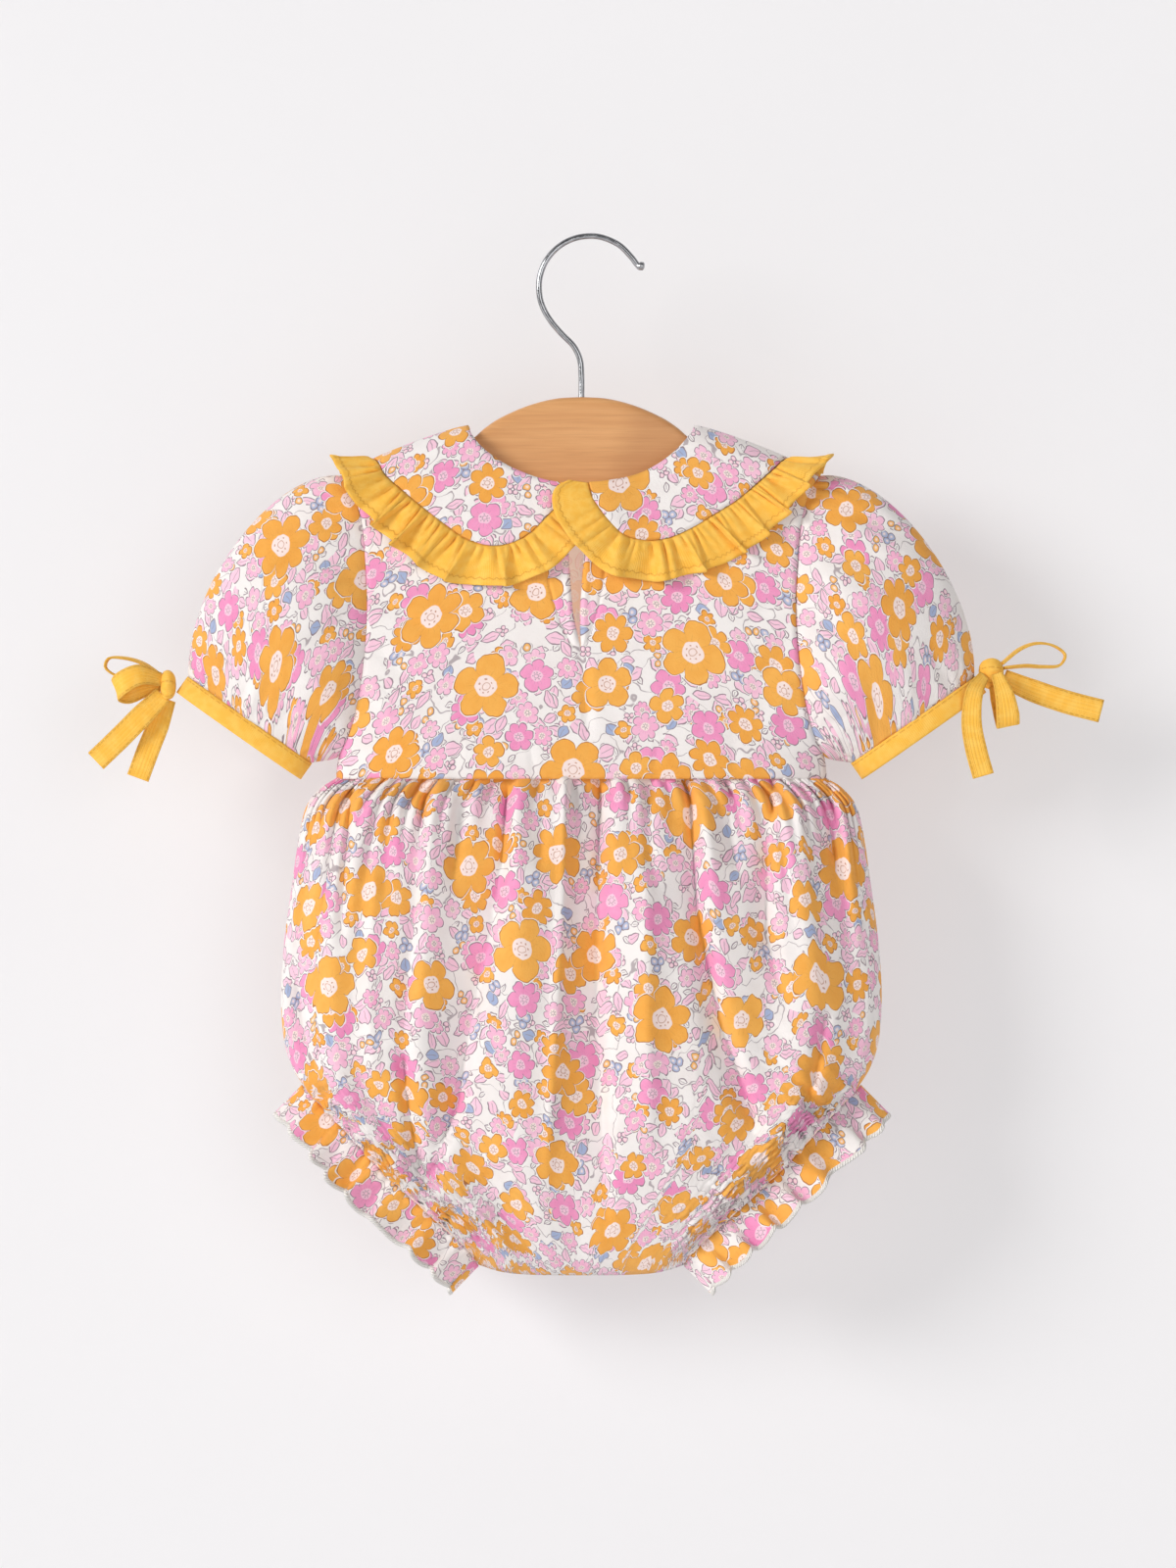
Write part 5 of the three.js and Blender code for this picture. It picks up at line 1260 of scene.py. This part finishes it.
def print_cotton(wrong_side=False):
    """Fine cotton with a small all-over print of simple flowers, leaves and berries, drawn in thin
    grey-brown lines on off-white. On the wrong side the print shows through faintly, and the cloth
    glows faintly: painted light that stands in for light coming through the cloth."""
    name = "print_cotton_inside" if wrong_side else "print_cotton"
    f = Finish(name, Roughness=0.85, Sheen_Weight=0.15, Specular_IOR_Level=0.25)
    flat = f.uv()
    warp = f.node("TexNoise", {"Vector": flat, "Scale": 0.22, "Detail": 1.0}, output=1)
    shifted = f.node("VectorMath", {0: warp, 1: (2.2, 2.2, 0.0), 2: flat}, operation="MULTIPLY_ADD")
    x, y, _z = f.parts(shifted)
    c = f.mix(f.ramp(f.noise(flat, 0.05, 2.0), 0.4, 0.7), GROUND, tint(243, 236, 233))
    stem = f.maths("ABSOLUTE", f.noise(f.join(x, y, 3.0), 0.075, 1.0) - 0.5)
    c = f.mix(f.ramp(stem, 0.004, 0.011, 0.7, 0.0), c, OUTLINE)
    gold, pink, pale = (GOLD, GOLD_DEEP, CREAM), (PINK, PINK_DEEP, PALE_PINK), (PALE_PINK, PINK, CREAM)
    c = leaves(f, c, x, y, (9.5, 0.7, (0.3, 0.1), 0.5, 3.0), 4.4, 1.2, GROUND, 0.7, 1)
    c = berries(f, c, x, y, (13.0, 2.1, (0.6, 0.4), 0.5, 4.0), 1.15, PALE_PINK, 0.5, 4)
    c = leaves(f, c, x, y, (12.5, 0.35, (0.15, 0.55), 0.4, 5.0), 6.6, 2.2, PALE_PINK, 0.8, 1)
    c = leaves(f, c, x, y, (16.0, 2.6, (0.4, 0.8), 0.4, 5.1), 9.4, 3.0, PALE_PINK, 0.8, 1)
    c = leaves(f, c, x, y, (19.0, 1.8, (0.65, 0.05), 0.4, 5.2), 9.0, 2.1, PALE_PINK, 0.75, 2)
    c = leaves(f, c, x, y, (27.0, 1.35, (0.5, 0.25), 0.4, 5.5), 6.4, 2.6, BLUE, 0.8, 1)
    c = berries(f, c, x, y, (25.0, 1.2, (0.4, 0.9), 0.4, 6.0), 1.9, BLUE, 0.5, 3)
    c = berries(f, c, x, y, (17.0, 0.5, (0.1, 0.3), 0.5, 6.5), 1.7, GOLD, 0.4, 2)
    c = blossom(f, c, x, y, (23.0, 1.75, (0.8, 0.2), 0.4, 7.0), 4.3, 4, gold, BROWN, 0.75)
    c = blossom(f, c, x, y, (20.0, 2.2, (0.35, 0.55), 0.42, 7.5), 4.6, 6, pale, OUTLINE, 0.75)
    c = blossom(f, c, x, y, (27.0, 0.95, (0.1, 0.7), 0.4, 8.0), 5.6, 5, pale, OUTLINE, 0.7)
    c = blossom(f, c, x, y, (34.0, 2.5, (0.5, 0.35), 0.42, 9.0), 7.8, 5, pink, OUTLINE, 0.85)
    c = blossom(f, c, x, y, (33.0, 1.05, (0.7, 0.6), 0.4, 11.0), 8.2, 5, gold, BROWN, 0.8, 0.35, 0.42)
    c = blossom(f, c, x, y, (46.0, 0.18, (0.25, 0.15), 0.36, 10.0), 12.8, 5, gold, BROWN, 0.9, 0.45, 0.42)
    if wrong_side:
        c = f.mix(0.8, c, tint(240, 226, 214))
        # Painted light: the wrong side glows with its own colour, in place of light coming through the cloth.
        f.feed(f.shader.inputs["Emission Color"], c)
        f.shader.inputs["Emission Strength"].default_value = 0.22
    f.colour(c)
    crinkle = f.noise(flat, 0.75, 4.0, 0.6)
    xx, yy, _zz = f.parts(flat)
    weave = f.maths("SINE", xx * 14.0) * f.maths("SINE", yy * 14.0)
    f.bump(crinkle + weave * 0.12, 0.28)
    return f.material


def stitched(f, x, y, kind):
    """Where a row of sewing lies: a small zigzag above a frill's hem, dashes below a band's upper edge,
    or dashes along both edges of a tie."""
    if kind == "frill":
        slant = f.maths("ABSOLUTE", f.maths("FRACT", x / 2.6) - 0.5)
        return f.close(y + 16.6 - slant * 2.2, 0.14, 0.34)
    if kind == "band":
        row, gap = y + 1.3, f.maths("FRACT", x / 2.8)
    else:
        row, gap = f.maths("FLOORED_MODULO", x, 6.0) - 3, f.maths("FRACT", y / 2.6)
    return f.close(row, 0.12, 0.34) * (gap < 0.7)


def yellow_jersey(kind):
    """Golden yellow knit: fine upright ribs with a painted highlight on their crests, a soft nap, slight
    changes of tone and its sewing.
    """
    f = Finish("yellow_" + kind, Roughness=0.8, Sheen_Weight=0.25, Sheen_Roughness=0.5,
               Specular_IOR_Level=0.25)
    f.shader.inputs["Sheen Tint"].default_value = tint(255, 230, 160)
    flat = f.uv()
    x, y, _z = f.parts(flat)
    tone = f.ramp(f.noise(flat, 0.25, 3.0), 0.35, 0.7)
    rib = f.maths("SINE", x * 9.5)
    c = f.mix(tone, tint(252, 190, 72), tint(255, 202, 92))
    # Painted highlight: the raised crests of the ribs are coloured lighter.
    c = f.mix(f.ramp(rib, 0.2, 1.0) * 0.12, c, tint(255, 220, 130))
    seam = stitched(f, x, y, kind)
    c = f.mix(seam * 0.5, c, tint(222, 146, 44))
    f.colour(c)
    f.bump(rib * 0.3 + f.noise(flat, 1.3, 3.0) - seam * 1.2, 0.16)
    return f.material


def thread(name, colour):
    """Sewing thread, with the slant of its twist and painted shade in its grooves."""
    f = Finish(name, Roughness=0.6, Sheen_Weight=0.2)
    flat = f.uv()
    x, y, _z = f.parts(flat)
    twist = f.maths("SINE", (x + y * 0.8) * 4.2)
    # Painted shade: the low grooves of the twist are coloured darker.
    c = f.mix(f.ramp(twist, -0.6, 0.8), tuple(0.86 * v for v in colour[:3]) + (1.0,), colour)
    f.colour(c)
    f.bump(twist, 0.25)
    return f.material


def beech():
    """Varnished pale wood: long fine grain, a slow change of tone and a soft darker band."""
    f = Finish("hanger_wood", Roughness=0.42, Coat_Weight=0.25, Coat_Roughness=0.3)
    place_mm = f.surface()
    grain = f.noise(f.scaled(place_mm, 0.018, 0.3, 0.5), 1.0, 6.0, 0.6)
    fine = f.noise(f.scaled(place_mm, 0.06, 1.0, 2.6), 1.0, 3.0)
    x, _y, z = f.parts(place_mm)
    band = f.close(x - z * 0.35 - 62.0, 4.0, 22.0)
    c = f.mix(f.ramp(grain, 0.3, 0.7), tint(214, 153, 95), tint(226, 168, 110))
    c = f.mix(f.ramp(fine, 0.5, 0.75) * 0.25, c, tint(178, 120, 70))
    c = f.mix(band * 0.35, c, tint(170, 112, 66))
    f.colour(c)
    f.rough(f.ramp(fine, 0.3, 0.8, 0.36, 0.52))
    f.bump(grain * 0.6 + fine * 0.4, 0.12)
    return f.material


def chrome():
    """Bright plated wire, faintly drawn along its length. Its metal colour is a darker grey than
    chrome's: painted dark reflection, in place of darker surroundings.
    """
    f = Finish("hook_chrome", Metallic=1.0)
    marks = f.noise(f.scaled(f.surface(), 0.3, 3.0, 0.3), 1.0, 3.0)
    # Painted reflection: the grey metal colour stands in for dark surroundings reflected in the wire.
    f.colour(f.mix(f.ramp(marks, 0.35, 0.7), tint(150, 151, 154), tint(186, 187, 190)))
    f.rough(f.ramp(marks, 0.3, 0.7, 0.12, 0.26))
    f.bump(marks, 0.02)
    return f.material


def wall_paint():
    """Matt near-white paint with a glow of its own, so that shadows on it stay pale. It shows only
    from the room's side."""
    f = Finish("pale_wall", Roughness=0.9, Specular_IOR_Level=0.1)
    soft = f.noise(f.surface(), 0.004, 2.0)
    c = f.mix(soft, tint(188, 187, 188), tint(191, 190, 191))
    f.colour(c)
    f.feed(f.shader.inputs["Emission Color"], c)
    f.shader.inputs["Emission Strength"].default_value = 0.72
    seen_through = f.tree.nodes.new("ShaderNodeBsdfTransparent")
    behind = f.node("NewGeometry", output=6)
    mixed = f.node("MixShader", {0: behind})
    f.tree.links.new(f.shader.outputs[0], mixed.socket.node.inputs[1])
    f.tree.links.new(seen_through.outputs[0], mixed.socket.node.inputs[2])
    f.tree.links.new(mixed.socket, f.output.inputs["Surface"])
    return f.material


# Stage, lights and camera.


def plane(name, corners, finish):
    mesh = bpy.data.meshes.new(name)
    mesh.from_pydata(corners, [], [(0, 1, 2, 3)])
    made = bpy.data.objects.new(name, mesh)
    bpy.context.scene.collection.objects.link(made)
    mesh.materials.append(finish)
    return made


def area_light(name, place_m, aim, size, power, colour):
    light = bpy.data.lights.new(name, "AREA")
    light.shape = "DISK"
    light.size = size
    light.energy = power
    light.color = colour
    made = bpy.data.objects.new(name, light)
    way = np.array(aim, float) - np.array(place_m, float)
    made.location = place_m
    made.rotation_euler = (math.atan2(math.hypot(way[0], way[1]), -way[2]), 0,
                           math.atan2(way[1], way[0]) - math.pi / 2)
    bpy.context.scene.collection.objects.link(made)


WALL_Y = 0.062


def stage_and_camera():
    wall = wall_paint()
    plane("wall", [(-6, WALL_Y, -3), (6, WALL_Y, -3), (6, WALL_Y, 5), (-6, WALL_Y, 5)], wall)
    plane("floor", [(-6, -6, -1.3), (6, -6, -1.3), (6, WALL_Y, -1.3), (-6, WALL_Y, -1.3)], wall)
    middle = (0, 0, -0.26)
    area_light("window", (-4.7, -3.6, 1.6), middle, 2.6, 258, (1.0, 0.99, 0.98))
    area_light("fill", (1.6, -3.8, 0.2), middle, 3.0, 40, (1.0, 0.99, 0.985))
    area_light("behind", (0.4, 2.0, 0.6), middle, 1.6, 20, (1.0, 1.0, 1.0))
    scene = bpy.context.scene
    world = bpy.data.worlds.new("room")
    world.use_nodes = True
    world.node_tree.nodes["Background"].inputs["Color"].default_value = (0.97, 0.97, 0.98, 1)
    world.node_tree.nodes["Background"].inputs["Strength"].default_value = 0.22
    scene.world = world
    scene.view_settings.view_transform = "Standard"
    camera = bpy.data.cameras.new("camera")
    camera.sensor_fit = "VERTICAL"
    camera.sensor_height = 36
    camera.lens = 117.4
    seen = bpy.data.objects.new("camera", camera)
    seen.location = (-0.0009, -2.4, -0.2558)
    seen.rotation_euler = (math.pi / 2, 0, 0)
    scene.collection.objects.link(seen)
    scene.camera = seen


def build():
    stage_and_camera()
    cotton, inside = print_cotton(), print_cotton(True)
    frill, band, yellow = yellow_jersey("frill"), yellow_jersey("band"), yellow_jersey("tie")
    edge_thread = thread("overlock_thread", tint(255, 252, 246))
    bodice_back(cotton, inside)
    bodice_front(cotton, inside)
    bubble(-1, "bubble_back", BACK_FOLDS, BACK_LONG, 7, 0, cotton, inside)
    bubble(1, "bubble_front", FRONT_FOLDS, FRONT_LONG, 17, 500, cotton, inside)
    for name, hand in (("left", -1), ("right", 1)):
        sleeve(hand, name, cotton, inside)
        cuff(hand, name, band)
        collar(hand, name, cotton)
        collar_frill(hand, name, frill)
        leg_frill(hand, name, cotton, inside, edge_thread)
    knot("bow_knot_left", KNOT_LEFT, yellow, 3, 0.016)
    knot("bow_knot_right", KNOT_RIGHT, yellow, 5, 0.022)
    for name, rows, at_knot, length in (
            ("bow_loop_front_left", LEFT_LOOP_FRONT, KNOT_LEFT, 0.045),
            ("bow_loop_rear_left", LEFT_LOOP_REAR, KNOT_LEFT, 0.06),
            ("bow_tail_front_left", LEFT_TAIL_FRONT, KNOT_LEFT, 0.043),
            ("bow_tail_rear_left", LEFT_TAIL_REAR, KNOT_LEFT, 0.038),
            ("bow_loop_upper_right", RIGHT_LOOP_UPPER, KNOT_RIGHT, 0.065),
            ("bow_loop_lower_right", RIGHT_LOOP_LOWER, KNOT_RIGHT, 0.055),
            ("bow_tail_inner_right", RIGHT_TAIL_INNER, KNOT_RIGHT, 0.05),
            ("bow_tail_outer_right", RIGHT_TAIL_OUTER, KNOT_RIGHT, 0.046)):
        tie(name, rows, at_knot, yellow, hem="tail" in name)
    hanger_wood(beech())
    hanger_hook(chrome())


build()
